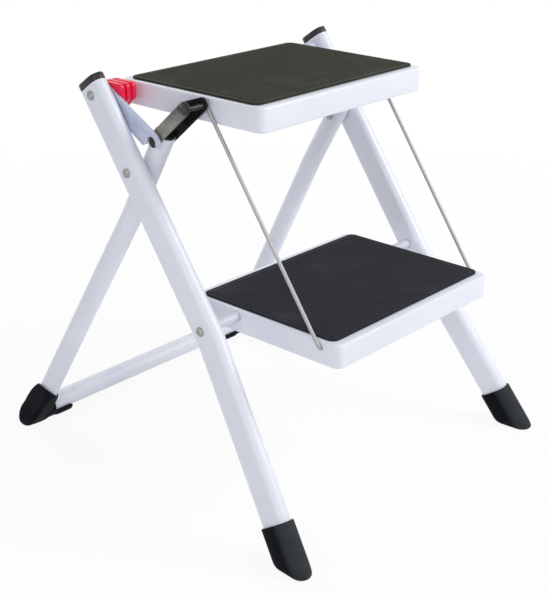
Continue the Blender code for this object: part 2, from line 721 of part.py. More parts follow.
def hanger_rod(side, sign):
    """A thin rod bent inwards at both ends, through the skirts of the two treads."""
    tail_x = PAN_FACE_X - PAN_SHEET - SEAT_GAP - CLIP_THICKNESS - ROD_TAIL
    bend = ROD_DIAMETER / 2 + SLIDE_GAP
    corners = [
        Vector((sign * tail_x, HANGER_TOP.y, HANGER_TOP.z)),
        Vector((sign * ROD_X, HANGER_TOP.y, HANGER_TOP.z)),
        Vector((sign * ROD_X, HANGER_LOW.y, HANGER_LOW.z)),
        Vector((sign * tail_x, HANGER_LOW.y, HANGER_LOW.z)),
    ]
    points = [corners[0]]
    for index in (1, 2):
        points += fillet(corners[index - 1], corners[index], corners[index + 1], bend, CORNER_STEPS)
    points.append(corners[3])
    rod = round_tube(f"hanger_rod_{side}", points, ROD_DIAMETER / 2, Matrix(), ROD_RESOLUTION, flat=False)
    place(rod, hanger_rods, chrome)
    face = PAN_FACE_X - PAN_SHEET - SEAT_GAP
    hole = ROD_DIAMETER / 2 + SEAT_GAP
    rim = CLIP_DIAMETER / 2
    for end, point in (("top", HANGER_TOP), ("low", HANGER_LOW)):
        clip = ring(f"rod_clip_{end}_{side}", hole, rim, sign, face - CLIP_THICKNESS, face, point)
        place(clip, hanger_rods, zinc_steel)


def prop_link(sign):
    """A channel from the rear leg's top to the top tread: it straddles the leg, its web up and behind."""
    span = HANGER_TOP - LINK_PIVOT
    along = span.normalized()
    back = Vector((0, along.z, -along.y))
    columns = Matrix((along, back, along.cross(back))).transposed().to_4x4()
    frame = Matrix.Translation(LINK_PIVOT + Vector((sign * REAR_X, 0, 0))) @ columns
    half_width = REAR_TUBE / 2 + SEAT_GAP + LINK_SHEET
    radius = (LINK_OPEN_REACH + LINK_BACK_REACH) / 2
    middle = (LINK_BACK_REACH - LINK_OPEN_REACH) / 2
    outline = arc((span.length, middle), radius, -90, 90, END_STEPS)
    outline += arc((0, middle), radius, 90, 270, END_STEPS)
    hole = PIN_DIAMETER / 2 + HOLE_GAP
    holes = [circle(hole), circle(hole, (span.length, 0))]
    link = prism("prop_link", outline, -half_width, half_width, frame, holes)
    web = LINK_BACK_REACH - LINK_SHEET
    past = 2 * radius
    hollow = [
        (-past, -past),
        (span.length + past, -past),
        (span.length + past, web),
        (LINK_WEB_START, web),
        (LINK_WEB_START, past),
        (-past, past),
    ]
    gap = half_width - LINK_SHEET
    cut(link, prism("prop_link_hollow", hollow, -gap, gap, frame))
    place(link, fold_link, dark_paint)
    pin("link_leg_pin", sign, LINK_PIVOT, rear_frame)
    pin("link_tread_pin", sign, HANGER_TOP, fold_link)


def catch_arm(sign):
    """The flat arm of the catch: a hub on the top hinge's spacer and a hook over the link's lower pin."""
    hook = ((LINK_PIVOT - TOP_HINGE).y, (LINK_PIVOT - TOP_HINGE).z)
    aim = math.degrees(math.atan2(hook[1], hook[0])) % 360
    outline = arc((0, 0), CATCH_HUB_RADIUS, aim - 270, aim - 90, END_STEPS)
    outline += arc(hook, CATCH_HOOK_RADIUS, aim - 90, CATCH_MOUTH_FRONT, END_STEPS)
    outline += arc(hook, CATCH_NOTCH_RADIUS, CATCH_MOUTH_FRONT, CATCH_MOUTH_REAR, END_STEPS)
    outline.append(arc(hook, CATCH_HOOK_RADIUS, CATCH_MOUTH_REAR, CATCH_MOUTH_FRONT, END_STEPS)[0])
    frame = Matrix.Translation(TOP_HINGE) @ SIDE_VIEW
    hole = circle(SPACER_DIAMETER / 2 + HOLE_GAP)
    arm = prism("catch_arm", outline, *across(sign, CATCH_INNER_X, CATCH_OUTER_X), frame, [hole])
    place(arm, safety_catch, grey_paint)


def catch_thumb(sign):
    """The red thumb piece: a block on the same spacer, with grooves that leave ribs to press on."""
    corners = [
        (-THUMB_FRONT, THUMB_ABOVE),
        (-THUMB_FRONT, -THUMB_NOSE_DROP),
        (-THUMB_CHIN, -THUMB_BELOW),
        (THUMB_HEEL, -THUMB_HEEL_DROP),
        (THUMB_BACK, THUMB_BACK_RISE),
        (THUMB_CROWN, THUMB_ABOVE),
    ]
    frame = Matrix.Translation(TOP_HINGE) @ SIDE_VIEW
    outline = rounded_polygon(corners, THUMB_CORNER)
    outer_x = CATCH_INNER_X - SEAT_GAP
    inner_x = outer_x - THUMB_WIDTH
    hole = circle(SPACER_DIAMETER / 2 + HOLE_GAP)
    thumb = prism("catch_thumb", outline, *across(sign, inner_x, outer_x), frame, [hole])
    shrink = 1 - THUMB_GROOVE_DEPTH / THUMB_BELOW
    core = rounded_polygon([(y * shrink, z * shrink) for y, z in corners], THUMB_CORNER * shrink)
    groove = (THUMB_WIDTH - 3 * THUMB_RIB) / 2
    for index in range(2):
        start = inner_x + THUMB_RIB + index * (THUMB_RIB + groove)
        ends = across(sign, start, start + groove)
        cut(thumb, prism(f"thumb_groove_{index}", circle(2 * THUMB_FRONT), *ends, frame, [core]))
    place(thumb, safety_catch, red_plastic)


clear_scene()
parts = new_collection("step_stool")
cutters = new_collection("cutters")

white_paint = finish("white powder coat", (0.86, 0.88, 0.90), 0.35)
black_plastic = finish("black plastic", (0.02, 0.02, 0.022), 0.45)
black_rubber = finish("black rubber", (0.022, 0.023, 0.026), 0.6)
mat_rubber = finish("charcoal mat rubber", (0.045, 0.045, 0.047), 0.75)
chrome = finish("bright wire", (0.62, 0.62, 0.62), 0.25, 1.0)
zinc_steel = finish("zinc-plated steel", (0.55, 0.55, 0.54), 0.4, 1.0)
dark_paint = finish("black enamel", (0.03, 0.03, 0.03), 0.4)
grey_paint = finish("grey enamel", (0.55, 0.58, 0.62), 0.4)
red_plastic = finish("red plastic", (0.72, 0.03, 0.07), 0.4)

front_frame = axis_empty("front_frame_axis", (0, 0, 0))
rear_frame = axis_empty("rear_frame_axis", CROSS_PIVOT)
top_step = axis_empty("top_step_axis", TOP_HINGE)
lower_step = axis_empty("lower_step_axis", LOWER_HINGE)
hanger_rods = axis_empty("hanger_rods_axis", HANGER_TOP)
fold_link = axis_empty("fold_link_axis", LINK_PIVOT)
safety_catch = axis_empty("safety_catch_axis", TOP_HINGE)

for side, sign in SIDES.items():
    front_stile(side, sign)
    stile_cap(side, sign)
    front_foot(side, sign)
    tread_hinge("top", side, sign, TOP_HINGE)
    tread_hinge("lower", side, sign, LOWER_HINGE)
    cross_hinge(side, sign)
    rear_leg(side, sign)
    leg_plug(side, sign)
    rear_shoe(side, sign)
    hanger_rod(side, sign)
rear_crossbar()
tread("top", TOP_HINGE, HANGER_TOP, TOP_PAN_BEHIND_HINGE, top_step)
tread("lower", LOWER_HINGE, HANGER_LOW, LOWER_PAN_BEHIND_HINGE, lower_step)
prop_link(SIDES[CATCH_SIDE])
catch_arm(SIDES[CATCH_SIDE])
catch_thumb(SIDES[CATCH_SIDE])
cutters.hide_render = True
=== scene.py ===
# %% [markdown]
# A folding two-step stool. The frame that is loaded first holds every solid at its real size, in metres,
# with the floor at zero height and the treads facing -Y. This lesson dresses it: smoother tubes, ribbed
# mats, pressed pans with rolled edges, and a finish for each surface.

# %% Load the frame
import json
import math

import bmesh
import bpy
from mathutils import Matrix, Vector

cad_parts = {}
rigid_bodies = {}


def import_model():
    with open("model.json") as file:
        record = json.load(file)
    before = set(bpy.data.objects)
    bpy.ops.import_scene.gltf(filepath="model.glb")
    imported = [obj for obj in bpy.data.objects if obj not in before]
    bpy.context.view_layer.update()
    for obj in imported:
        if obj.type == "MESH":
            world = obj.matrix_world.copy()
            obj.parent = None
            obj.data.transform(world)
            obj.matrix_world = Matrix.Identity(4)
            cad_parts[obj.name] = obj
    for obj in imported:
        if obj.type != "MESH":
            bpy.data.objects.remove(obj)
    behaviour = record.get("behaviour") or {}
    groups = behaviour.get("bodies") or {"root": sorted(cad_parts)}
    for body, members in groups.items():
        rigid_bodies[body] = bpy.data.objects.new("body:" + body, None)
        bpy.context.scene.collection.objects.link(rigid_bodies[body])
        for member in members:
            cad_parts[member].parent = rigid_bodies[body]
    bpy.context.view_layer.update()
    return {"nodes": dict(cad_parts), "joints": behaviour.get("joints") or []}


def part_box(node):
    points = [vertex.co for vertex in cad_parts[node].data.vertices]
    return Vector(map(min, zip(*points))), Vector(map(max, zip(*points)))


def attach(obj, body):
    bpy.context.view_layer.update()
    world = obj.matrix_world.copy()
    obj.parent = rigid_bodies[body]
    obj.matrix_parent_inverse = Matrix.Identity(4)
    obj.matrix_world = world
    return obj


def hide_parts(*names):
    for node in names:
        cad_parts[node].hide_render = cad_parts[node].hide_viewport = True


for leftover in list(bpy.data.objects):
    bpy.data.objects.remove(leftover, do_unlink=True)
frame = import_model()
joint_at = {joint["name"]: Vector(joint["pos_m"]) for joint in frame["joints"]}

# %% [markdown]
# The tubes' axes could be typed in as numbers, but the joints already hold them. The two tread hinges lie
# on the axis of the front stiles, and the cross pivot and the link pivot lie on the axis of the rear legs,
# so two points give the lean of each tube.

# %% Axes of the tubes
top_hinge = joint_at["top_step_hinge"]
lower_hinge = joint_at["lower_step_hinge"]
cross_pivot = joint_at["rear_fold"]
link_pivot = joint_at["fold_link_swing"]
hanger_top = joint_at["hanger_swing"]
hanger_low = lower_hinge + hanger_top - top_hinge
stile_down = (lower_hinge - top_hinge).normalized()
stile_front = stile_down.cross(Vector((1, 0, 0)))
leg_down = (cross_pivot - link_pivot).normalized()
leg_front = leg_down.cross(Vector((1, 0, 0)))
SIDES = {"left": -1, "right": 1}
for label, down in (("stile", stile_down), ("rear leg", leg_down)):
    print(label, "leans", round(math.degrees(math.acos(-down.z)), 2), "degrees from upright")

# %% [markdown]
# Paint, rubber, plastic and plated steel could each have a node tree of their own, but here they share one
# recipe: a slow noise that drifts the colour and the roughness, and a fast noise that raises a fine bump.
# Both read object coordinates, so the pattern stays put on a piece when the stool folds. Two small classes
# do the node work, so each finish below reads like a recipe card. The first serves the floor, the studio
# and the shape trees as well.

# %% A bench for node trees
class NodeBench:
    """A node tree under construction."""

    def __init__(self, tree):
        self.tree = tree

    def link(self, source, socket):
        self.tree.links.new(source, socket)

    def add(self, kind, sockets=None, **settings):
        """A new node: first its settings, then its sockets, each linked to a source or set to a value."""
        node = self.tree.nodes.new(kind)
        for setting, value in settings.items():
            setattr(node, setting, value)
        for socket, value in (sockets or {}).items():
            if isinstance(value, bpy.types.NodeSocket):
                self.link(value, node.inputs[socket])
            else:
                node.inputs[socket].default_value = value
        return node

    def combined(self, operation, first, second):
        """What a math node makes of two numbers."""
        return self.add("ShaderNodeMath", {0: first, 1: second}, operation=operation).outputs[0]

    def times(self, first, second):
        return self.combined("MULTIPLY", first, second)

    def point(self, stretch=(1, 1, 1)):
        """Object coordinates, stretched along an axis where the pattern runs long."""
        place = self.add("ShaderNodeTexCoord").outputs["Object"]
        return self.add("ShaderNodeMapping", {"Vector": place, "Scale": stretch}).outputs["Vector"]

    def ranged(self, factor, start, end, low=0.0, high=1.0):
        """A number that goes from low to high as the factor goes from start to end."""
        sockets = {"Value": factor, "From Min": start, "From Max": end, "To Min": low, "To Max": high}
        return self.add("ShaderNodeMapRange", sockets).outputs["Result"]


print("steps on the bench:", [step for step in vars(NodeBench) if step[0] != "_"])

# %% A finish with drift, grain and wear
DRIFT_RANGE = (0.3, 0.7)
BUMP_DISTANCE = 0.0004


class Finish(NodeBench):
    """A material under construction."""

    def __init__(self, name, metallic=0.0, specular=0.5):
        self.material = bpy.data.materials.new(name)
        self.material.use_nodes = True
        super().__init__(self.material.node_tree)
        self.shader = self.tree.nodes["Principled BSDF"]
        self.shader.inputs["Metallic"].default_value = metallic
        self.shader.inputs["Specular IOR Level"].default_value = specular

    def noise(self, scale, detail=4.0, stretch=(1, 1, 1)):
        """Noise from 0 to 1, with its scale in cycles per metre."""
        sockets = {"Vector": self.point(stretch), "Scale": scale, "Detail": detail}
        return self.add("ShaderNodeTexNoise", sockets).outputs["Fac"]

    def along(self, direction, start, end):
        """0 at one distance along a direction on the open stool, 1 at the other."""
        sockets = {0: self.point(), 1: direction}
        distance = self.add("ShaderNodeVectorMath", sockets, operation="DOT_PRODUCT")
        return self.ranged(distance.outputs["Value"], start, end)

    def height(self, start, end):
        return self.along((0, 0, 1), start, end)

    def grain(self, low, high, rough, drift, fine, bump, stretch=(1, 1, 1)):
        """Colour and roughness that drift slowly, and a fine bump."""
        slow = self.noise(drift, stretch=stretch)
        ramp = self.add("ShaderNodeValToRGB", {"Fac": slow})
        for stop, position, colour in zip(ramp.color_ramp.elements, DRIFT_RANGE, (low, high)):
            stop.position = position
            stop.color = (*colour, 1)
        self.colour = ramp.outputs["Color"]
        self.link(self.colour, self.shader.inputs["Base Color"])
        self.link(self.ranged(slow, *DRIFT_RANGE, *rough), self.shader.inputs["Roughness"])
        sockets = {"Height": self.noise(fine, 2.0, stretch), "Strength": bump, "Distance": BUMP_DISTANCE}
        raised = self.add("ShaderNodeBump", sockets)
        self.link(raised.outputs["Normal"], self.shader.inputs["Normal"])
        return self

    def wear_and_painted_light(self, factor, colour):
        """Mixes another colour over the finish where the factor is high: wear, dust, and painted light."""
        mix = self.add("ShaderNodeMix", data_type="RGBA")
        share, below, above = [socket for socket in mix.inputs if socket.enabled]
        self.link(factor, share)
        self.link(self.colour, below)
        above.default_value = (*colour, 1)
        self.colour = next(socket for socket in mix.outputs if socket.enabled)
        self.link(self.colour, self.shader.inputs["Base Color"])
        return self


print("steps of a finish:", [step for step in vars(Finish) if step[0] != "_"])

# %% [markdown]
# The frame is powder coated: a cool white with the faint orange peel that powder leaves when it melts. A
# painted image would need a map of every tube, and noise needs none. Feet and brooms rub the lowest part of
# a stool, so faint grey rub marks fade in towards the floor: stretched noise above a threshold, multiplied
# by the height. The spacers between the stiles and the treads sit in shade, so their coat is painted
# greyer: painted shade.

# %% Powder coat
RUB_HEIGHTS = (0.13, 0.03)
RUB_GREY = (0.58, 0.59, 0.62)


def powder_coat(name, low, high):
    coat = Finish(name)
    coat.grain(low, high, rough=(0.30, 0.42), drift=9, fine=700, bump=0.10)
    rubs = coat.ranged(coat.noise(60, 6.0, (1.0, 1.0, 3.0)), 0.56, 0.78, 0.0, 0.55)
    coat.wear_and_painted_light(coat.times(rubs, coat.height(*RUB_HEIGHTS)), RUB_GREY)
    coat.shader.inputs["Coat Weight"].default_value = 0.15
    coat.shader.inputs["Coat Roughness"].default_value = 0.25
    return coat.material


white = powder_coat("white powder coat", (0.755, 0.780, 0.840), (0.815, 0.838, 0.888))
# painted shade: the spacers between stile and tread get a greyer coat
shaded_spacer_white = powder_coat("thin powder coat", (0.560, 0.585, 0.640), (0.630, 0.655, 0.705))
print("coats:", white.name, "and", shaded_spacer_white.name)

# %% [markdown]
# The mats are charcoal rubber with a dry, open grain. The top one is warm and a little faded, the lower one
# is darker and bluish. Shoes polish rubber in places, which shows as cloudy lighter patches. One function
# makes both.

# %% Mat rubber
def mat_rubber(name, low, high, polished):
    rubber = Finish(name, specular=0.18)
    rubber.grain(low, high, rough=(0.66, 0.85), drift=22, fine=1500, bump=0.35)
    rubber.wear_and_painted_light(rubber.ranged(rubber.noise(14, 3.0), 0.55, 0.85), polished)
    return rubber.material


top_rubber = mat_rubber(
    "top mat rubber", (0.022, 0.0225, 0.0155), (0.033, 0.033, 0.0230), polished=(0.056, 0.055, 0.040)
)
lower_rubber = mat_rubber(
    "lower mat rubber", (0.011, 0.012, 0.016), (0.019, 0.020, 0.026), polished=(0.032, 0.034, 0.042)
)
print("mats:", top_rubber.name, "and", lower_rubber.name)

# %% [markdown]
# Boots and shoes are softer and blacker than the mats, and dust clings to rubber just above the floor. The
# front boots are blacker still, and their front faces are painted a lighter grey: painted light on the side
# that faces the lamps, mottled with scuffs. A second material on the front faces would end in a hard line,
# so the distance forward of the stile's middle plane fades the painted light in. The rear shoes lie far
# behind that plane and get none. The caps and plugs are hard plastic, so they are smoother and shine a
# little more.

# %% Boot rubber and cap plastic
# Painted light: the boots' front faces are painted a lighter grey, faded in forward of the stile's middle
# plane and mottled with scuffs.
FRONT_LIGHT_FADE = (0.005, 0.014)
FRONT_LIGHT_AND_SCUFF_GREY = (0.041, 0.046, 0.050)
DUST_HEIGHT = 0.010
DUST_GREY = (0.060, 0.059, 0.057)


def foot_rubber(name, low, high):
    rubber = Finish(name, specular=0.05)
    rubber.grain(low, high, rough=(0.45, 0.62), drift=35, fine=1100, bump=0.22)
    middle = top_hinge.dot(stile_front)
    # painted light on the front faces, mottled with scuffs
    forward = rubber.along(stile_front, *(middle + distance for distance in FRONT_LIGHT_FADE))
    front_light_and_scuffs = rubber.ranged(rubber.noise(70, 5.0), 0.30, 0.65, 0.70, 1.0)
    rubber.wear_and_painted_light(rubber.times(front_light_and_scuffs, forward), FRONT_LIGHT_AND_SCUFF_GREY)
    dust = rubber.ranged(rubber.noise(160, 5.0), 0.45, 0.80)
    rubber.wear_and_painted_light(rubber.times(dust, rubber.height(DUST_HEIGHT, 0.0)), DUST_GREY)
    return rubber.material


boot_rubber = foot_rubber("boot rubber", (0.002, 0.0025, 0.004), (0.004, 0.005, 0.008))
shoe_rubber = foot_rubber("shoe rubber", (0.003, 0.0035, 0.006), (0.007, 0.0075, 0.012))
black_plastic = Finish("cap plastic", specular=0.4).grain(
    (0.008, 0.008, 0.009), (0.016, 0.016, 0.017), rough=(0.32, 0.45), drift=40, fine=1600, bump=0.15
).material
print("feet and caps:", boot_rubber.name, shoe_rubber.name, black_plastic.name)

# %% [markdown]
# Bare metal is the wire of the hanger rods, drawn along its length, and the plated bolts and nuts, whose
# zinc shows cloudy crystals. The pins of the link are blackened with oil. They differ in how the noise is
# stretched, how metallic and how rough they are.

# %% Wire, zinc and pin steel
DRAWN = (1, 1, 0.1)
wire_steel = Finish("bright wire", metallic=0.7).grain(
    (0.38, 0.38, 0.38), (0.48, 0.48, 0.48), (0.55, 0.70), drift=60, fine=900, bump=0.06, stretch=DRAWN
).material
zinc = Finish("plated steel", metallic=1.0).grain(
    (0.24, 0.26, 0.24), (0.40, 0.42, 0.39), rough=(0.32, 0.48), drift=190, fine=1400, bump=0.10
).material
oiled_steel = Finish("oiled pin steel", metallic=0.8).grain(
    (0.030, 0.031, 0.032), (0.065, 0.066, 0.066), rough=(0.36, 0.50), drift=150, fine=1300, bump=0.10
).material
print("metals:", wire_steel.name, zinc.name, oiled_steel.name)

# %% [markdown]
# The link is enamelled black. Its outer face is painted a dull olive grey instead: painted light and
# reflection on the face that looks outwards, darker again towards the top end, where noise brings the black
# back. The catch arm is grey enamel with fine scratches, and its thumb piece is red plastic with a slight
# shine.

# %% Link, arm and thumb piece
DARK_TOP_HEIGHTS = (0.448, 0.468)
BLACK = (0.018, 0.018, 0.022)
SCRATCH_GREY = (0.42, 0.45, 0.55)
enamel = Finish("link enamel", specular=0.4).grain(
    (0.010, 0.010, 0.010), (0.020, 0.020, 0.019), rough=(0.34, 0.50), drift=45, fine=900, bump=0.12
)
# Painted light: the outer face of the link, a lighter olive grey, darker again towards the top.
painted_lit = Finish("rubbed link face", metallic=0.45).grain(
    (0.20, 0.20, 0.17), (0.30, 0.295, 0.255), rough=(0.36, 0.52), drift=70, fine=1000, bump=0.12
)
dark_top = painted_lit.ranged(painted_lit.noise(120, 4.0), 0.35, 0.60, 0.6, 1.0)
painted_lit.wear_and_painted_light(painted_lit.times(dark_top, painted_lit.height(*DARK_TOP_HEIGHTS)), BLACK)
grey_enamel = Finish("arm enamel", metallic=0.15).grain(
    (0.54, 0.58, 0.72), (0.66, 0.70, 0.83), rough=(0.32, 0.46), drift=50, fine=900, bump=0.10
)
scratches = grey_enamel.ranged(grey_enamel.noise(260, 5.0, (1.0, 3.0, 0.6)), 0.60, 0.80)
grey_enamel.wear_and_painted_light(scratches, SCRATCH_GREY)
red = Finish("catch plastic", specular=0.35).grain(
    (0.83, 0.008, 0.058), (0.91, 0.014, 0.080), rough=(0.28, 0.40), drift=60, fine=1300, bump=0.12
)
red.shader.inputs["Coat Weight"].default_value = 0.1
print("link and catch:", [finish.material.name for finish in (enamel, painted_lit, grey_enamel, red)])

# %% [markdown]
# Every piece ends the same way: its doubles are merged, its faces turned outwards, its shading smoothed
# except at creases. Then it rides on a body of the frame and stands for the solids that it replaces. For
# forty pieces, a few helpers are safer than doing it by hand.

# %% Finished pieces
WELD_DISTANCE = 0.000005
PIECE_CREASE = 35


def as_mesh(name, bm):
    """The plain mesh of a bmesh, which is then let go."""
    mesh = bpy.data.meshes.new(name)
    bm.to_mesh(mesh)
    bm.free()
    return mesh


def in_scene(name, data):
    """A new object at the origin that carries a mesh, a lamp or a camera."""
    made = bpy.data.objects.new(name, data)
    bpy.context.scene.collection.objects.link(made)
    return made


def shaded(mesh, crease):
    """Smooth shading that stops where faces meet at more than the crease angle, in degrees."""
    mesh.shade_smooth()
    mesh.set_sharp_from_angle(angle=math.radians(crease))
    return mesh


def piece(name, bm, body, finish, slot, *nodes):
    """A finished mesh at the origin: it rides on its body and stands for its solids."""
    bmesh.ops.remove_doubles(bm, verts=bm.verts, dist=WELD_DISTANCE)
    bmesh.ops.recalc_face_normals(bm, faces=bm.faces)
    made = in_scene(name, shaded(as_mesh(name, bm), PIECE_CREASE))
    made.data.materials.append(finish)
    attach(made, body)
    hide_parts(*nodes)
    return made


print("pieces crease at", PIECE_CREASE, "degrees")

# %% [markdown]
# A tube is one closed outline carried along a centre line. A bevelled curve would do that as well, but
# carrying the outline by hand, ring by ring, keeps full control of how fine the bends are. The frame of
# each ring is passed on from the one before, so an oval section never twists.

# %% Rings and sweeps
def loft(rings):
    """Skins a list of rings of equal length and closes both ends."""
    bm = bmesh.new()
    placed = [[bm.verts.new(point) for point in ring] for ring in rings]
    count = len(placed[0])
    for first, second in zip(placed, placed[1:]):
        for index in range(count):
            after = (index + 1) % count
            bm.faces.new((first[index], first[after], second[after], second[index]))
    bm.faces.new(reversed(placed[0]))
    bm.faces.new(placed[-1])
    return bm


def oval(width, depth, steps=14):
    """A flat oval outline, long along its second axis."""
    radius = width / 2
    straight = depth / 2 - radius
    outline = []
    for end, start in ((straight, 0), (-straight, math.pi)):
        for step in range(steps + 1):
            turn = start + math.pi * step / steps
            outline.append((radius * math.cos(turn), end + radius * math.sin(turn)))
    return outline


def circle(radius, steps=40):
    turns = [2 * math.pi * step / steps for step in range(steps)]
    return [(radius * math.cos(turn), radius * math.sin(turn)) for turn in turns]


def sweep(path, outline, depth_axis):
    """Carries an outline along a path; the outline's second axis starts along depth_axis."""
    rings = []
    for index, point in enumerate(path):
        before = path[max(index - 1, 0)]
        after = path[min(index + 1, len(path) - 1)]
        ahead = (after - before).normalized()
        depth_axis = (depth_axis - ahead * depth_axis.dot(ahead)).normalized()
        across = depth_axis.cross(ahead)
        rings.append([point + across * u + depth_axis * v for u, v in outline])
    return loft(rings)


def rounded_corner(before, corner, after, radius, steps=12):
    """Points of the arc that rounds a corner of a path."""
    back = (before - corner).normalized()
    ahead = (after - corner).normalized()
    half = back.angle(ahead) / 2
    centre = corner + (back + ahead).normalized() * (radius / math.sin(half))
    first = corner + back * (radius / math.tan(half)) - centre
    last = corner + ahead * (radius / math.tan(half)) - centre
    return [centre + first.slerp(last, step / steps) * radius for step in range(steps + 1)]


print("an oval has", len(oval(1, 2)), "points, a circle", len(circle(1)))

# %% [markdown]
# The front stiles are flat-oval tube. They run parallel past the treads and bend outwards just below the
# lower hinge, so the stool stands wide. Two straight tubes that meet would show a crease there. The bend is
# a smooth arc on the real tube, so it gets many more rings than the straight runs need.

# %% Front stiles
STILE_DEPTH = 0.038
STILE_BEND_BELOW_HINGE = 0.012
STILE_BEND_RADIUS = 0.080
STILE_SPREAD = 0.0315
STILE_TOP_REACH = 0.0105
STILE_END_ABOVE_FLOOR = 0.012
cap_low, cap_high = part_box("stile_cap_right")
stile_x = (cap_low.x + cap_high.x) / 2
stile_width = cap_high.x - cap_low.x
stile_floor = top_hinge.z / -stile_down.z
stile_bend = (lower_hinge - top_hinge).length + STILE_BEND_BELOW_HINGE


def stile_point(sign, along):
    """A point of the stile's centre line, at a distance down from the top hinge."""
    spread = max(0.0, (along - stile_bend) / (stile_floor - stile_bend)) * STILE_SPREAD
    return top_hinge + stile_down * along + Vector((sign * (stile_x + spread), 0, 0))


def front_stile(side, sign):
    top = stile_point(sign, -STILE_TOP_REACH)
    corner = stile_point(sign, stile_bend)
    end = stile_point(sign, stile_floor - STILE_END_ABOVE_FLOOR / -stile_down.z)
    path = [top, *rounded_corner(top, corner, end, STILE_BEND_RADIUS), end]
    bm = sweep(path, oval(stile_width, STILE_DEPTH), stile_front)
    piece(f"painted_stile_{side}", bm, "front_frame", white, "white_paint", f"stile_{side}")


for side, sign in SIDES.items():
    front_stile(side, sign)
print("stile width", round(stile_width, 4), "spread at the floor", STILE_SPREAD)

# %% [markdown]
# The rear legs are round tube, and their spread starts a hand's width below the cross pivot. Their crossbar
# sits just above the floor, inside the two corner shoes. All three are swept like the stiles, with a circle
# for the outline.

# %% Rear legs and crossbar
REAR_BEND_BELOW_PIVOT = 0.080
REAR_BEND_RADIUS = 0.120
REAR_SPREAD = 0.0317
LEG_TOP_REACH = 0.0095
LEG_END_ABOVE_FLOOR = 0.010
bar_low, bar_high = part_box("rear_crossbar")
bar_middle = (bar_low + bar_high) / 2
leg_radius = (bar_high.z - bar_low.z) / 2
plug_low, plug_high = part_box("leg_plug_right")
leg_x = (plug_low.x + plug_high.x) / 2
leg_floor = cross_pivot.z / -leg_down.z


def leg_point(sign, along):
    """A point of the rear leg's centre line, at a distance down from the cross pivot."""
    share = max(0.0, (along - REAR_BEND_BELOW_PIVOT) / (leg_floor - REAR_BEND_BELOW_PIVOT))
    return cross_pivot + leg_down * along + Vector((sign * (leg_x + share * REAR_SPREAD), 0, 0))


def rear_leg(side, sign):
    top = leg_point(sign, -(cross_pivot - link_pivot).length - LEG_TOP_REACH)
    corner = leg_point(sign, REAR_BEND_BELOW_PIVOT)
    end = leg_point(sign, leg_floor - LEG_END_ABOVE_FLOOR / -leg_down.z)
    path = [top, *rounded_corner(top, corner, end, REAR_BEND_RADIUS), end]
    bm = sweep(path, circle(leg_radius), leg_front)
    piece(f"painted_leg_{side}", bm, "rear_frame", white, "white_paint", f"rear_leg_{side}")


def crossbar():
    ends = [Vector((x, bar_middle.y, bar_middle.z)) for x in (bar_low.x, bar_high.x)]
    bm = sweep(ends, circle(leg_radius), Vector((0, 0, 1)))
    piece("painted_crossbar", bm, "rear_frame", white, "white_paint", "rear_crossbar")


for side, sign in SIDES.items():
    rear_leg(side, sign)
crossbar()
print("leg diameter", round(2 * leg_radius, 4))

# %% [markdown]
# Each tread is a pan pressed from one sheet: a flat top, an edge rolled over, a skirt all round and a hem
# turned in underneath. A hollowed box with bevels comes close, but its corners need care. A section through
# the sheet, carried round a rounded rectangle, gives all of that in one closed skin, so the edge keeps the
# same roll at the sides and at the corners.

# %% Tread pans
PAN_CORNER = 0.0105
PAN_EDGE = 0.0030
PAN_SHEET = 0.0015
PAN_HEM = 0.0080
HEM_ROLL = 0.0014
LEAST_CORNER = 0.0010
ROLL_STEPS = 6
QUARTER = [math.pi / 2 * step / ROLL_STEPS for step in range(ROLL_STEPS + 1)]


def rectangle_ring(low, high, inset, corner, height, steps=10):
    """A rounded rectangle at one height, drawn in from its outer box by the inset."""
    radius = max(corner - inset, LEAST_CORNER)
    outline = []
    corners = ((high.x, low.y, -90), (high.x, high.y, 0), (low.x, high.y, 90), (low.x, low.y, 180))
    for x, y, start in corners:
        centre_x = x - math.copysign(inset + radius, x - (low.x + high.x) / 2)
        centre_y = y - math.copysign(inset + radius, y - (low.y + high.y) / 2)
        for step in range(steps + 1):
            turn = math.radians(start + 90 * step / steps)
            place = (centre_x + radius * math.cos(turn), centre_y + radius * math.sin(turn), height)
            outline.append(Vector(place))
    return outline


def rolled_edge(radius, top):
    """A quarter round as (inset, height) points, from the flat top to the upright side."""
    return [(radius * (1 - math.sin(turn)), top - radius * (1 - math.cos(turn))) for turn in QUARTER]


def sheet_section(top, bottom):
    """The pan's section: over the edge, down, round the hem and back up inside."""
    round_hem = [(HEM_ROLL * (1 - math.cos(turn)), HEM_ROLL * (1 - math.sin(turn))) for turn in QUARTER]
    hem = [(inset, bottom + rise) for inset, rise in round_hem]
    lip = [(PAN_HEM, bottom), (PAN_HEM, bottom + PAN_SHEET), (PAN_SHEET, bottom + PAN_SHEET)]
    inside = [(PAN_SHEET, top - PAN_EDGE), (PAN_EDGE, top - PAN_SHEET)]
    return rolled_edge(PAN_EDGE, top) + hem + lip + inside


def tread_pan(label, body):
    low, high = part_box(f"{label}_pan")
    section = sheet_section(high.z, low.z)
    rings = [rectangle_ring(low, high, inset, PAN_CORNER, z) for inset, z in section]
    piece(f"pressed_{label}_pan", loft(rings), body, white, "white_paint", f"{label}_pan")
    print(label, "pan is", round(high.z - low.z, 4), "m deep, with", len(rings), "rings")


tread_pan("top", "top_step")
tread_pan("lower", "lower_step")

# %% [markdown]
# The mats are rubber sheets with ribs that run from side to side, so a shoe grips when it slides forwards.
# An Array modifier could repeat one rib, but a small node tree has its sizes as named inputs, so it serves
# both mats, and later makes the bars that cut the grooves: a line of points, one rib on each, then one
# plain mesh.

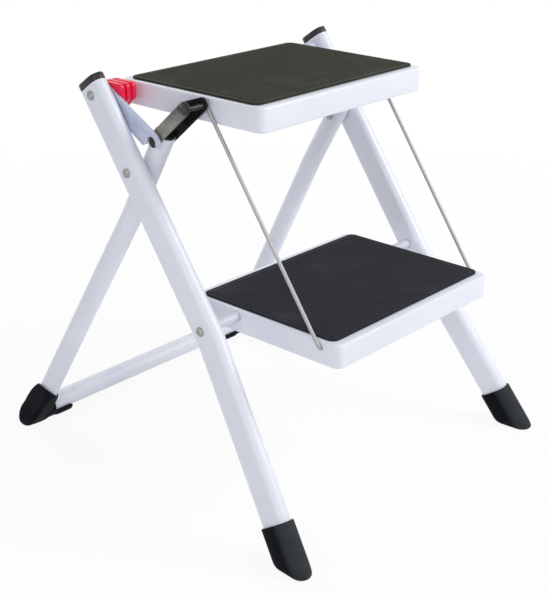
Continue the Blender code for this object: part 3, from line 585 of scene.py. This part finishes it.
# %% A bench for shape trees
class ShapeBench(NodeBench):
    """A geometry tree under construction, with named inputs for its sizes."""

    def __init__(self, name, inputs):
        super().__init__(bpy.data.node_groups.new(name, "GeometryNodeTree"))
        new_socket = self.tree.interface.new_socket
        for label, kind in inputs.items():
            new_socket(label, in_out="INPUT", socket_type=f"NodeSocket{kind}")
        new_socket("Geometry", in_out="OUTPUT", socket_type="NodeSocketGeometry")
        self.sizes = self.add("NodeGroupInput").outputs
        print(name, "take:", ", ".join(inputs))

    def copied(self, sockets, material):
        """Ends the tree: copies on points become real faces with a material."""
        copies = self.add("GeometryNodeInstanceOnPoints", sockets)
        real = self.add("GeometryNodeRealizeInstances", {"Geometry": copies.outputs["Instances"]})
        sockets = {"Geometry": real.outputs["Geometry"], "Material": material}
        painted = self.add("GeometryNodeSetMaterial", sockets)
        self.add("NodeGroupOutput", {"Geometry": painted.outputs["Geometry"]})
        return self.tree


def applied(made):
    """The plain mesh that an object's modifiers give; the object itself goes."""
    bpy.context.view_layer.update()
    mesh = bpy.data.meshes.new_from_object(made.evaluated_get(bpy.context.evaluated_depsgraph_get()))
    bpy.data.objects.remove(made, do_unlink=True)
    return mesh


def realised(tree, values, source=None):
    """Runs a tree with the given inputs, and returns the plain mesh that it makes."""
    host = in_scene(tree.name, source or bpy.data.meshes.new(tree.name))
    modifier = host.modifiers.new(tree.name, "NODES")
    modifier.node_group = tree
    for item in tree.interface.items_tree:
        if item.in_out == "INPUT" and item.name in values:
            modifier[item.identifier] = values[item.name]
    return applied(host)


print("shape trees take named sizes and end in real faces")

# %% Rib tree
RIB_CORNERS = 12
RIB_INPUTS = {
    "First rib": "Vector",
    "Step": "Vector",
    "Count": "Int",
    "Length": "Float",
    "Width": "Float",
    "Height": "Float",
    "Rubber": "Material",
}


def rib_tree():
    bench = ShapeBench("mat ribs", RIB_INPUTS)
    sizes = bench.sizes
    sockets = {"Count": sizes["Count"], "Start Location": sizes["First rib"], "Offset": sizes["Step"]}
    line = bench.add("GeometryNodeMeshLine", sockets, mode="OFFSET")
    half = bench.times(sizes["Width"], 0.5)
    sockets = {"Vertices": RIB_CORNERS, "Radius": half, "Depth": sizes["Length"]}
    bar = bench.add("GeometryNodeMeshCylinder", sockets)
    flat = bench.combined("DIVIDE", sizes["Height"], half)
    squeeze = bench.add("ShaderNodeCombineXYZ", {"X": flat, "Y": 1, "Z": 1}).outputs[0]
    sockets = {"Geometry": bar.outputs["Mesh"], "Rotation": (0, math.pi / 2, 0), "Scale": squeeze}
    rib = bench.add("GeometryNodeTransform", sockets)
    sockets = {"Points": line.outputs["Mesh"], "Instance": rib.outputs["Geometry"]}
    return bench.copied(sockets, sizes["Rubber"])


ribs = rib_tree()


def rib_row(middle, count, pitch, length, width, height, rubber):
    """A row of ribs, each along X, centred on a point."""
    x, y, z = middle
    first = (x, y - (count - 1) * pitch / 2, z)
    values = (first, (0, pitch, 0), count, length, width, height, rubber)
    return realised(ribs, dict(zip(RIB_INPUTS, values)))


# %% [markdown]
# The mat under the ribs is a thin slab with a softened edge, lofted from rounded rectangles as the pans
# are. Its top stops short of the solid's top by the height of a rib, so the ribs' crests are where the shoe
# meets the mat. The ribs are real faces, because a bump in the material wouldn't show at the mat's edge.

# %% Mats
MAT_CORNER = 0.009
MAT_EDGE = 0.0009
RIB_HEIGHT = 0.0008
RIB_WIDTH = 0.0032
RIB_PITCH = 0.0052
RIB_BORDER = 0.0065
RIB_CREASE = 50


def mat_slab(low, high):
    section = [*rolled_edge(MAT_EDGE, high.z - RIB_HEIGHT), (0, low.z)]
    return loft([rectangle_ring(low, high, inset, MAT_CORNER, z) for inset, z in section])


def tread_mat(label, body, rubber):
    low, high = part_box(f"{label}_mat")
    piece(f"moulded_{label}_mat", mat_slab(low, high), body, rubber, "mat_rubber", f"{label}_mat")
    count = int((high.y - low.y - 2 * RIB_BORDER) / RIB_PITCH) + 1
    middle = ((low.x + high.x) / 2, (low.y + high.y) / 2, high.z - RIB_HEIGHT)
    length = high.x - low.x - 2 * RIB_BORDER
    row = rib_row(middle, count, RIB_PITCH, length, RIB_WIDTH, RIB_HEIGHT, rubber)
    made = in_scene(f"{label}_mat_ribs", shaded(row, RIB_CREASE))
    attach(made, body)
    print(label, "mat has", count, "ribs")


tread_mat("top", "top_step", top_rubber)
tread_mat("lower", "lower_step", lower_rubber)

# %% [markdown]
# The hanger rods are plain wire: straight between the treads, and turned in at both ends through the
# skirts. On the real stool the lower turn shows as a little hook below the mat's edge. The bend is hardly
# wider than the wire, so each turn is a fine arc: a coarse one would pinch the sweep.

# %% Hanger rods
ROD_BEND_ROOM = 0.0006
ROD_CORNERS = 20
rod_low, rod_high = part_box("hanger_rod_right")
rod_radius = rod_high.z - hanger_top.z
rod_x = rod_high.x - rod_radius


def hanger_rod(side, sign):
    turns = [(rod_low.x, hanger_top), (rod_x, hanger_top), (rod_x, hanger_low), (rod_low.x, hanger_low)]
    corners = [Vector((sign * x, pivot.y, pivot.z)) for x, pivot in turns]
    path = [corners[0]]
    for before, corner, after in zip(corners, corners[1:], corners[2:]):
        path += rounded_corner(before, corner, after, rod_radius + ROD_BEND_ROOM)
    path.append(corners[-1])
    bm = sweep(path, circle(rod_radius, ROD_CORNERS), Vector((0, 0, 1)))
    piece(f"wire_rod_{side}", bm, "hanger_rods", wire_steel, "bright_wire", f"hanger_rod_{side}")


for side, sign in SIDES.items():
    hanger_rod(side, sign)
print("rod diameter", round(2 * rod_radius, 4))

# %% [markdown]
# Bolts and pins are turned parts. Each could be spun in place, but all of a kind are the same, so one
# turned master of each kind is set on points that know which way they face, with a small node tree. The
# copies on one body become one mesh.

# %% Fastener tree
FASTENER_INPUTS = {"Geometry": "Geometry", "Master": "Object", "Finish": "Material"}


def fastener_tree():
    bench = ShapeBench("fasteners", FASTENER_INPUTS)
    sizes = bench.sizes
    master = bench.add("GeometryNodeObjectInfo", {"Object": sizes["Master"]}).outputs["Geometry"]
    facing = bench.add("GeometryNodeInputNamedAttribute", {"Name": "facing"}, data_type="FLOAT_VECTOR")
    sockets = {"Vector": facing.outputs["Attribute"]}
    turn = bench.add("FunctionNodeAlignRotationToVector", sockets, axis="Z").outputs["Rotation"]
    sockets = {"Points": sizes["Geometry"], "Instance": master, "Rotation": turn}
    return bench.copied(sockets, sizes["Finish"])


fastener = fastener_tree()

# %% Turned masters and their copies
TURNED_WELD = 0.000002
TURNED_CREASE = 40


def turned_master(name, profile, steps=32):
    """A turned solid about Z, from (radius, height) points."""
    bm = bmesh.new()
    verts = [bm.verts.new((radius, 0, height)) for radius, height in profile]
    edges = [bm.edges.new(pair) for pair in zip(verts, verts[1:])]
    bmesh.ops.spin(
        bm, geom=verts + edges, cent=(0, 0, 0), axis=(0, 0, 1), angle=2 * math.pi, steps=steps
    )
    bmesh.ops.remove_doubles(bm, verts=bm.verts, dist=TURNED_WELD)
    bmesh.ops.recalc_face_normals(bm, faces=bm.faces)
    return in_scene(name, shaded(as_mesh(name, bm), TURNED_CREASE))


def fasteners(name, profile, places, body, *nodes, finish=zinc):
    """Copies of one master at (point, outward sign) places, as one piece that stands for the nodes."""
    seats = bpy.data.meshes.new(f"{name}_seats")
    seats.from_pydata([point for point, sign in places], [], [])
    facing = seats.attributes.new("facing", "FLOAT_VECTOR", "POINT")
    for item, (point, sign) in zip(facing.data, places):
        item.vector = (sign, 0, 0)
    master = turned_master(f"{name}_master", profile)
    made = in_scene(name, realised(fastener, {"Master": master, "Finish": finish}, seats))
    bpy.data.objects.remove(master, do_unlink=True)
    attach(made, body)
    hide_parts(*nodes)
    print(name, len(places), "copies,", len(made.data.polygons), "faces")


print("turned parts crease at", TURNED_CREASE, "degrees")

# %% [markdown]
# The hinge bolts show on the outside of the stiles as low domes. A squashed sphere would do from afar. A
# dome turned from a quarter ellipse, with a small flat rim, sits flat on the tube and catches a soft
# highlight like the real ones do. The shank is part of the same outline.

# %% Bolts
DOME_STEPS = 8
BOLT_RADIUS = 0.003
BOLT_RIM = 0.0005
bolt_low, bolt_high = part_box("top_hinge_bolt_right")
cross_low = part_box("cross_bolt_right")[0]
stile_face = stile_x + stile_width / 2
head_radius = (bolt_high.z - bolt_low.z) / 2
head_height = bolt_high.x - stile_face


def domed_shank(radius, height, rim, length):
    """A quarter ellipse from the crown to a short upright rim, and a plain shank below it."""
    turns = [math.pi / 2 * step / DOME_STEPS for step in range(DOME_STEPS + 1)]
    crown = [(radius * math.sin(turn), rim + (height - rim) * math.cos(turn)) for turn in turns]
    return [*crown, (radius, 0), (BOLT_RADIUS, 0), (BOLT_RADIUS, -length), (0, -length)]


def both_sides(*points, x):
    return [(point + Vector((sign * x, 0, 0)), sign) for point in points for sign in SIDES.values()]


def named_pairs(*stems):
    return [f"{stem}_{side}" for stem in stems for side in SIDES]


hinge_places = both_sides(top_hinge, lower_hinge, x=stile_face)
hinge_nodes = named_pairs("top_hinge_bolt", "lower_hinge_bolt")
cross_places = both_sides(cross_pivot, x=stile_face)
for name, end, places, nodes in (
    ("tread_hinge_bolts", bolt_low.x, hinge_places, hinge_nodes),
    ("cross_bolts", cross_low.x, cross_places, named_pairs("cross_bolt")),
):
    profile = domed_shank(head_radius, head_height, BOLT_RIM, stile_face - end)
    fasteners(name, profile, places, "front_frame", *nodes)

# %% [markdown]
# The link turns on two dark pins with flat heads, one in the leg and one at the tread, and small push-on
# clips keep the rods' ends from slipping out. These are turned parts too, so the same tree sets them. A
# clip is a ring: its outline starts and ends at the wire, so the spin leaves a hole.

# %% Pins and clips
PIN_HEAD = 0.0008
CLIP_SHOULDER = (0.7, 0.8)
pin_low, pin_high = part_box("link_leg_pin")
pin_seat = -pin_low.x - PIN_HEAD
pin_profile = domed_shank((pin_high.z - pin_low.z) / 2, PIN_HEAD, PIN_HEAD / 4, pin_seat + pin_high.x)
pins = {"link_leg_pin": (link_pivot, "rear_frame"), "link_tread_pin": (hanger_top, "fold_link")}
for name, (point, body) in pins.items():
    seat = [(point - Vector((pin_seat, 0, 0)), SIDES["left"])]
    fasteners(f"turned_{name}", pin_profile, seat, body, name, finish=oiled_steel)
clip_low, clip_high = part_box("rod_clip_top_right")
clip_rim = (clip_high.z - clip_low.z) / 2
clip_height = clip_high.x - clip_low.x
shoulder = (clip_rim * CLIP_SHOULDER[0], clip_height * CLIP_SHOULDER[1])
mouth = (rod_radius, clip_height)
clip_profile = [mouth, shoulder, (clip_rim, 0), (rod_radius, 0), mouth]
clip_places = [(point, -sign) for point, sign in both_sides(hanger_top, hanger_low, x=clip_high.x)]
clip_nodes = named_pairs("rod_clip_top", "rod_clip_low")
fasteners("rod_clips", clip_profile, clip_places, "hanger_rods", *clip_nodes)

# %% [markdown]
# The moulded and folded pieces already have their shape in the solids. What they lack is a soft edge:
# nothing moulded or stamped is razor sharp. Modelling them again would only repeat the solids, so a copy of
# each is welded, its flat faces are joined, and a bevel rounds the edges a little.

# %% Softened copies
SEAM_DISTANCE = 0.00001
FLAT_ANGLE = 1
EDGE_ANGLE = 32


def editable(mesh):
    bm = bmesh.new()
    bm.from_mesh(mesh)
    return bm


def welded(node):
    """A copy of a solid with its seams closed and its flat faces joined."""
    bm = editable(frame["nodes"][node].data)
    bmesh.ops.remove_doubles(bm, verts=bm.verts, dist=SEAM_DISTANCE)
    bmesh.ops.dissolve_limit(bm, angle_limit=math.radians(FLAT_ANGLE), verts=bm.verts, edges=bm.edges)
    mesh = as_mesh(node, bm)
    mesh.materials.clear()
    return mesh


def softened(node, name, body, finish, slot, width, segments=2):
    """A copy of a solid with its edges rounded."""
    made = in_scene(name, welded(node))
    edge = made.modifiers.new("soft edge", "BEVEL")
    edge.width = width
    edge.segments = segments
    edge.limit_method = "ANGLE"
    edge.angle_limit = math.radians(EDGE_ANGLE)
    return piece(name, editable(applied(made)), body, finish, slot, node)


print("edges sharper than", EDGE_ANGLE, "degrees get rounded")

# %% [markdown]
# Soles have grooves, so that water can get out from under them. They could be part of the sole's outline,
# but a cut is simpler: a row of flattened bars from the rib tree, at floor height, leaves shallow round
# grooves. They stop short of the rim, so the outline of the sole stays smooth. They lie a hair below the
# floor, because a cut is cleaner when no corner of a bar is in the sole.

# %% Groove bars
GROOVE_PITCH = 0.0065
GROOVE_WIDTH = 0.0026
GROOVE_DEPTH = 0.0013
GROOVE_SINK = 0.0002
GROOVED_SHARE = 0.6


def groove_bars(middle, count, length, along_x):
    """A row of bars at floor height, centred on a point of the floor."""
    bars = rib_row((0, 0, 0), count, GROOVE_PITCH, length, GROOVE_WIDTH, GROOVE_DEPTH, boot_rubber)
    turn = Matrix.Rotation(math.pi / 2 if along_x else 0, 4, "Z")
    bars.transform(Matrix.Translation((middle.x, middle.y, -GROOVE_SINK)) @ turn)
    return bars


def grooved(mesh, bars):
    """A mesh with a groove wherever a bar crosses it."""
    sole = in_scene("sole", mesh)
    cutter = in_scene("groove bars", bars)
    grooves = sole.modifiers.new("grooves", "BOOLEAN")
    grooves.object = cutter
    grooves.solver = "EXACT"
    cut = applied(sole)
    bpy.data.objects.remove(cutter, do_unlink=True)
    return cut


print("grooves every", GROOVE_PITCH, "m")

# %% [markdown]
# A front boot is a rubber sleeve on the slanted end of a stile, and its sole lies flat on the floor. A
# sleeve cut off at an angle would have a sharp rim, so its rings start level at the sole and tilt until the
# last lies square across the stile. The rim of the sole is drawn in over a quarter round, the toe is drawn
# back near the floor, and the collar gets a small round lip.

# %% Front boots
BOOT_WALL = 0.003
BOOT_HEIGHT = 0.044
BOOT_RIM = 0.0045
BOOT_LIP = 0.0009
BOOT_MOUTH = 0.006
BOOT_RINGS = 16
BOOT_GROOVES = 5
TOE_HEIGHT = 0.010
TOE_BACK = 0.003


def boot_ring(sign, height, level, inset):
    """An oval round the stile at a height; level is 1 for a flat ring and 0 for a square one."""
    above = stile_point(sign, stile_floor - BOOT_HEIGHT)
    ahead = (stile_point(sign, stile_floor) - above).normalized()
    depth_axis = (stile_front - ahead * stile_front.dot(ahead)).normalized()
    across = depth_axis.cross(ahead)
    along = stile_floor + height / stile_down.z
    toe_share = TOE_BACK / (STILE_DEPTH / 2 + BOOT_WALL) * max(0.0, 1 - height / TOE_HEIGHT) ** 2
    ring = []
    for u, v in oval(stile_width + 2 * (BOOT_WALL - inset), STILE_DEPTH + 2 * (BOOT_WALL - inset)):
        reach = across * u + depth_axis * (v if v < 0 else v * (1 - toe_share))
        ring.append(stile_point(sign, along - level * reach.z / stile_down.z) + reach)
    return ring


def boot_rings(sign):
    """The rings of a boot, from the sole up to the collar and a little way into its mouth."""
    rings = []
    for turn in QUARTER:
        rings.append(boot_ring(sign, BOOT_RIM * (1 - math.cos(turn)), 1, BOOT_RIM * (1 - math.sin(turn))))
    shoulder = BOOT_HEIGHT - BOOT_LIP
    for step in range(1, BOOT_RINGS + 1):
        share = step / BOOT_RINGS
        rings.append(boot_ring(sign, BOOT_RIM + share * (shoulder - BOOT_RIM), 1 - share, 0))
    for turn in QUARTER[1:]:
        height = shoulder + BOOT_LIP * math.sin(turn)
        rings.append(boot_ring(sign, height, 0, BOOT_LIP * (1 - math.cos(turn))))
    for drop in (0, BOOT_MOUTH):
        rings.append(boot_ring(sign, BOOT_HEIGHT - drop, 0, BOOT_WALL))
    return rings


def front_boot(side, sign):
    bm = loft(boot_rings(sign))
    bmesh.ops.recalc_face_normals(bm, faces=bm.faces)
    foot = stile_point(sign, stile_floor)
    bars = groove_bars(foot, BOOT_GROOVES, GROOVED_SHARE * stile_width, along_x=False)
    bm = editable(grooved(as_mesh("boot", bm), bars))
    piece(f"moulded_boot_{side}", bm, "front_frame", boot_rubber, "black_rubber", f"front_foot_{side}")


for side, sign in SIDES.items():
    front_boot(side, sign)
print("boot height", BOOT_HEIGHT, "rim", BOOT_RIM)

# %% [markdown]
# The rear shoes have their main form in the solids: a blunt boot on the leg, a sleeve on the crossbar and a
# strip under it. On the real stool these are one moulding, so they flow into each other, which a bevel
# can't give. A voxel remesh turns the solid into one even skin whose points can be moved: the toe's end
# leans back to the leg, the collar rises on its outer side, and the strip gets an upright front. Smoothing
# then rounds every edge, and short grooves go in last.

# %% Points of a rear shoe
SHOE_WALL = 0.0033
SHOE_HEIGHT = 0.042
TOE_UPRIGHT = 0.003
TOE_TOP = 0.026
TOE_TOP_SHARE = 0.05
COLLAR_ZONE = 0.026
COLLAR_RISE = (0.0058, 0.0138, 0.0043)
STRIP_BLEND = 0.006
STRIP_SKIN = 0.0005


def eased(value, start, end):
    """0 before start, 1 after end, and a smooth step between them."""
    share = min(max((value - start) / (end - start), 0.0), 1.0)
    return share * share * (3 - 2 * share)


def toe_leant(point, sign):
    """Draws the toe's end in towards the leg, more the higher it is."""
    leg_side = sign * leg_point(sign, leg_floor - point.z / -leg_down.z).x + leg_radius + SHOE_WALL
    beyond = sign * point.x - leg_side
    if beyond > 0:
        rise = min(max((point.z - TOE_UPRIGHT) / (TOE_TOP - TOE_UPRIGHT), 0.0), 1.0)
        point.x = sign * (leg_side + beyond * (1 - rise * (1 - TOE_TOP_SHARE)))


def collar_raised(point, sign):
    """Moves the collar up along the leg, most on its outer side."""
    foot = leg_point(sign, leg_floor)
    up = (leg_point(sign, leg_floor - SHOE_HEIGHT) - foot).normalized()
    along = (point - foot).dot(up)
    offset = (point - foot - up * along) / (leg_radius + SHOE_WALL)
    middle, outer, front = COLLAR_RISE
    lift = max(0.0, middle + outer * sign * offset.x + front * offset.dot(leg_front))
    collar = SHOE_HEIGHT / -leg_down.z
    point += up * lift * eased(along, collar - COLLAR_ZONE, collar)


def strip_squared(point, sign, toe_radius):
    """Gives the strip under the crossbar an upright front and back."""
    out, down = point.y - bar_middle.y, bar_middle.z - point.z
    if down < leg_radius / 2:
        return
    inner = leg_x + REAR_SPREAD - toe_radius
    share = eased(inner - sign * point.x, -STRIP_BLEND / 2, STRIP_BLEND / 2)
    share *= eased(math.hypot(out, down), leg_radius + STRIP_SKIN, toe_radius - STRIP_SKIN)
    reach = math.sqrt(toe_radius ** 2 - leg_radius ** 2 / 4)
    own_reach = math.sqrt(max(toe_radius ** 2 - down ** 2, (toe_radius / 4) ** 2))
    point.y = bar_middle.y + out * (1 + share * (reach / own_reach - 1))


print("the collar rises up to", round(sum(COLLAR_RISE[:2]), 4), "m on its outer side")

# %% Rear shoes
SHOE_VOXEL = 0.0008
SHOE_SMOOTHING = 20
SHOE_GROOVE = 0.008


def shoe_skin(node, sign, toe_radius):
    """A solid as one even skin, with its points moved and then smoothed."""
    made = in_scene("shoe", welded(node))
    skin = made.modifiers.new("one skin", "REMESH")
    skin.mode = "VOXEL"
    skin.voxel_size = SHOE_VOXEL
    mesh = applied(made)
    for vertex in mesh.vertices:
        toe_leant(vertex.co, sign)
        collar_raised(vertex.co, sign)
        strip_squared(vertex.co, sign, toe_radius)
    made = in_scene("shoe", mesh)
    rounding = made.modifiers.new("rounding", "SMOOTH")
    rounding.iterations = SHOE_SMOOTHING
    return applied(made)


def rear_shoe(side, sign):
    node = f"rear_shoe_{side}"
    low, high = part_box(node)
    count = int(GROOVED_SHARE * (high.x - low.x) / GROOVE_PITCH)
    middle = Vector(((low.x + high.x) / 2, bar_middle.y, 0))
    bars = groove_bars(middle, count, SHOE_GROOVE, along_x=True)
    bm = editable(grooved(shoe_skin(node, sign, high.y - bar_middle.y), bars))
    print("shoe", side, len(bm.faces), "faces,", count, "grooves")
    piece(f"moulded_shoe_{side}", bm, "rear_frame", shoe_rubber, "black_rubber", node)


for side, sign in SIDES.items():
    rear_shoe(side, sign)

# %% [markdown]
# The caps and plugs close the tubes' upper ends. The nuts and spacer tubes sit on the hinge bolts: the nuts
# are plated, and the spacers that show between stile and tread are painted like the frame but greyer, as
# painted shade of the gap they sit in. A softened copy of the solid is all that they need.

# %% Caps, plugs, spacers and nuts
CAP_EDGE = 0.0006
PLUG_EDGE = 0.0004
NUT_EDGE = 0.0003
for side in SIDES:
    cap, plug = f"moulded_cap_{side}", f"moulded_plug_{side}"
    softened(f"stile_cap_{side}", cap, "front_frame", black_plastic, "black_plastic", CAP_EDGE)
    softened(f"leg_plug_{side}", plug, "rear_frame", black_plastic, "black_plastic", PLUG_EDGE)
    for hinge in ("top_hinge", "lower_hinge", "cross"):
        nut, spacer = f"{hinge}_nut_{side}", f"{hinge}_spacer_{side}"
        softened(nut, f"plated_{nut}", "front_frame", zinc, "zinc_steel", NUT_EDGE, 1)
        # the spacers get the greyer coat of painted shade
        softened(spacer, f"painted_{spacer}", "front_frame", shaded_spacer_white, "white_paint", NUT_EDGE, 1)
print("on each side: a cap, a plug, three nuts and three spacers")

# %% [markdown]
# The outer face of the link is painted a lighter olive grey as painted light, while the inside of the
# channel stays black: the enamel's own colour, and painted shade as well. A mask in one material could do
# that, but the border runs along the edge of the sheet, so two materials do: faces that look outwards get
# the painted light, and all others keep the enamel.

# %% Link and catch
FOLDED_EDGE = 0.0004
THUMB_EDGE = 0.0007
PAINTED_LIT_DEPTH = 0.0012
OUTWARDS = -0.5
link = softened("prop_link", "folded_link", "fold_link", enamel.material, "black_enamel", FOLDED_EDGE)
link.data.materials.append(painted_lit.material)
link_face = min(vertex.co.x for vertex in link.data.vertices)
# faces that look outwards get the painted light, the rest keep the black enamel
for face in link.data.polygons:
    if face.normal.x < OUTWARDS and face.center.x < link_face + PAINTED_LIT_DEPTH:
        face.material_index = 1
arm, thumb = "stamped_catch_arm", "moulded_catch_thumb"
softened("catch_arm", arm, "safety_catch", grey_enamel.material, "grey_enamel", FOLDED_EDGE)
softened("catch_thumb", thumb, "safety_catch", red.material, "red_plastic", THUMB_EDGE)
print("rubbed faces of the link:", sum(face.material_index for face in link.data.polygons))

# %% [markdown]
# The photograph shows the stool cut out on white. An overexposed floor would wash out the white frame, so
# the floor only looks white: rays from the camera see mostly a plain glow, which leaves a soft shadow under
# the feet and turns fully white further out, so no edge of the floor shows. The world does the same, and
# lights the stool with a weaker, slightly blue fill.

# %% Floor and studio
FLOOR_REACH = 12
FLOOR_COLOUR = (0.9, 0.9, 0.91, 1)
GLOW_DISTANCES = (0.35, 1.5)
GLOW_SHARES = (0.90, 1.0)
FILL = {"Color": (0.90, 0.92, 1.0, 1), "Strength": 0.50}
WHITE_WALL = {"Color": (1, 1, 1, 1), "Strength": 1.0}


def bare_bench(owner):
    """The bench of a material or a world, without the nodes that Blender puts there."""
    owner.use_nodes = True
    owner.node_tree.nodes.clear()
    return NodeBench(owner.node_tree)


def seen_by_eye_or_shine(bench):
    """1 for rays from the camera, and for rays that a glossy or clear surface sends on."""
    path = bench.add("ShaderNodeLightPath")
    total = path.outputs["Is Camera Ray"]
    for kind in ("Is Glossy Ray", "Is Transmission Ray"):
        total = bench.combined("MAXIMUM", total, path.outputs[kind])
    return total


def mixed(bench, factor, first, second, output):
    """Shows the second shader by the share of the factor, and the first by the rest."""
    mix = bench.add("ShaderNodeMixShader", {0: factor, 1: first.outputs[0], 2: second.outputs[0]})
    bench.add(output, {"Surface": mix.outputs[0]})


def pale_floor():
    bm = bmesh.new()
    bmesh.ops.create_grid(bm, x_segments=1, y_segments=1, size=FLOOR_REACH)
    floor = in_scene("floor", as_mesh("floor", bm))
    pale = bpy.data.materials.new("pale floor")
    bench = bare_bench(pale)
    diffuse = bench.add("ShaderNodeBsdfDiffuse", {"Color": FLOOR_COLOUR})
    glow = bench.add("ShaderNodeEmission", {"Strength": 1.0})
    away = bench.add("ShaderNodeVectorMath", {0: bench.point()}, operation="LENGTH").outputs["Value"]
    glow_share = bench.ranged(away, *GLOW_DISTANCES, *GLOW_SHARES)
    share = bench.times(seen_by_eye_or_shine(bench), glow_share)
    mixed(bench, share, diffuse, glow, "ShaderNodeOutputMaterial")
    floor.data.materials.append(pale)


def soft_world():
    world = bpy.data.worlds.new("studio")
    bpy.context.scene.world = world
    bench = bare_bench(world)
    fill, wall = (bench.add("ShaderNodeBackground", sockets) for sockets in (FILL, WHITE_WALL))
    mixed(bench, seen_by_eye_or_shine(bench), fill, wall, "ShaderNodeOutputWorld")


pale_floor()
soft_world()
print("floor glow from", GLOW_SHARES[0], "near the feet to", GLOW_SHARES[1])

# %% [markdown]
# Three broad round lamps light the stool. The key, in front on the right, makes the front skirts brighter
# than the left ones. A weak fill on the left opens the shadows, and a lamp behind lights the rear legs. A
# sun would give hard shadows, which the photograph doesn't show.

# %% Lamps
LAMP_AIM = Vector((0, 0, 0.25))


def area_lamp(name, place, size, watts):
    data = bpy.data.lights.new(name, "AREA")
    data.shape = "DISK"
    data.size = size
    data.energy = watts
    lamp = in_scene(name, data)
    lamp.location = place
    lamp.rotation_euler = (LAMP_AIM - Vector(place)).to_track_quat("-Z", "Y").to_euler()
    print(name, "lamp,", size, "m across,", watts, "W")


area_lamp("key", (1.3, -1.9, 1.9), size=1.4, watts=39)
area_lamp("fill", (-1.9, -1.2, 1.0), size=1.6, watts=11)
area_lamp("back", (0.4, 2.0, 1.8), size=1.6, watts=14)

# %% [markdown]
# The camera stands where the photograph was taken from. Its place, angles and lens were fitted by laying
# renders over the photograph until the frame of the stool agreed. The Standard view shows colours as they
# are written.

# %% Camera
CAMERA_PLACE = (-1.0407, -0.9516, 0.7792)
CAMERA_TURN = -47.804
CAMERA_DOWN = 22.955
CAMERA_ROLL = 0.11
CAMERA_LENS = 71.86
CAMERA_SENSOR = 36


def photo_camera():
    data = bpy.data.cameras.new("photo camera")
    data.lens = CAMERA_LENS
    data.sensor_width = CAMERA_SENSOR
    camera = in_scene("photo camera", data)
    turn = Matrix.Rotation(math.radians(CAMERA_TURN), 4, "Z")
    tilt = Matrix.Rotation(math.radians(90 - CAMERA_DOWN), 4, "X")
    roll = Matrix.Rotation(math.radians(CAMERA_ROLL), 4, "Z")
    camera.matrix_world = Matrix.Translation(CAMERA_PLACE) @ turn @ tilt @ roll
    bpy.context.scene.camera = camera


bpy.context.scene.view_settings.view_transform = "Standard"
photo_camera()
print("camera at", CAMERA_PLACE, "with a", CAMERA_LENS, "mm lens")

# %% [markdown]
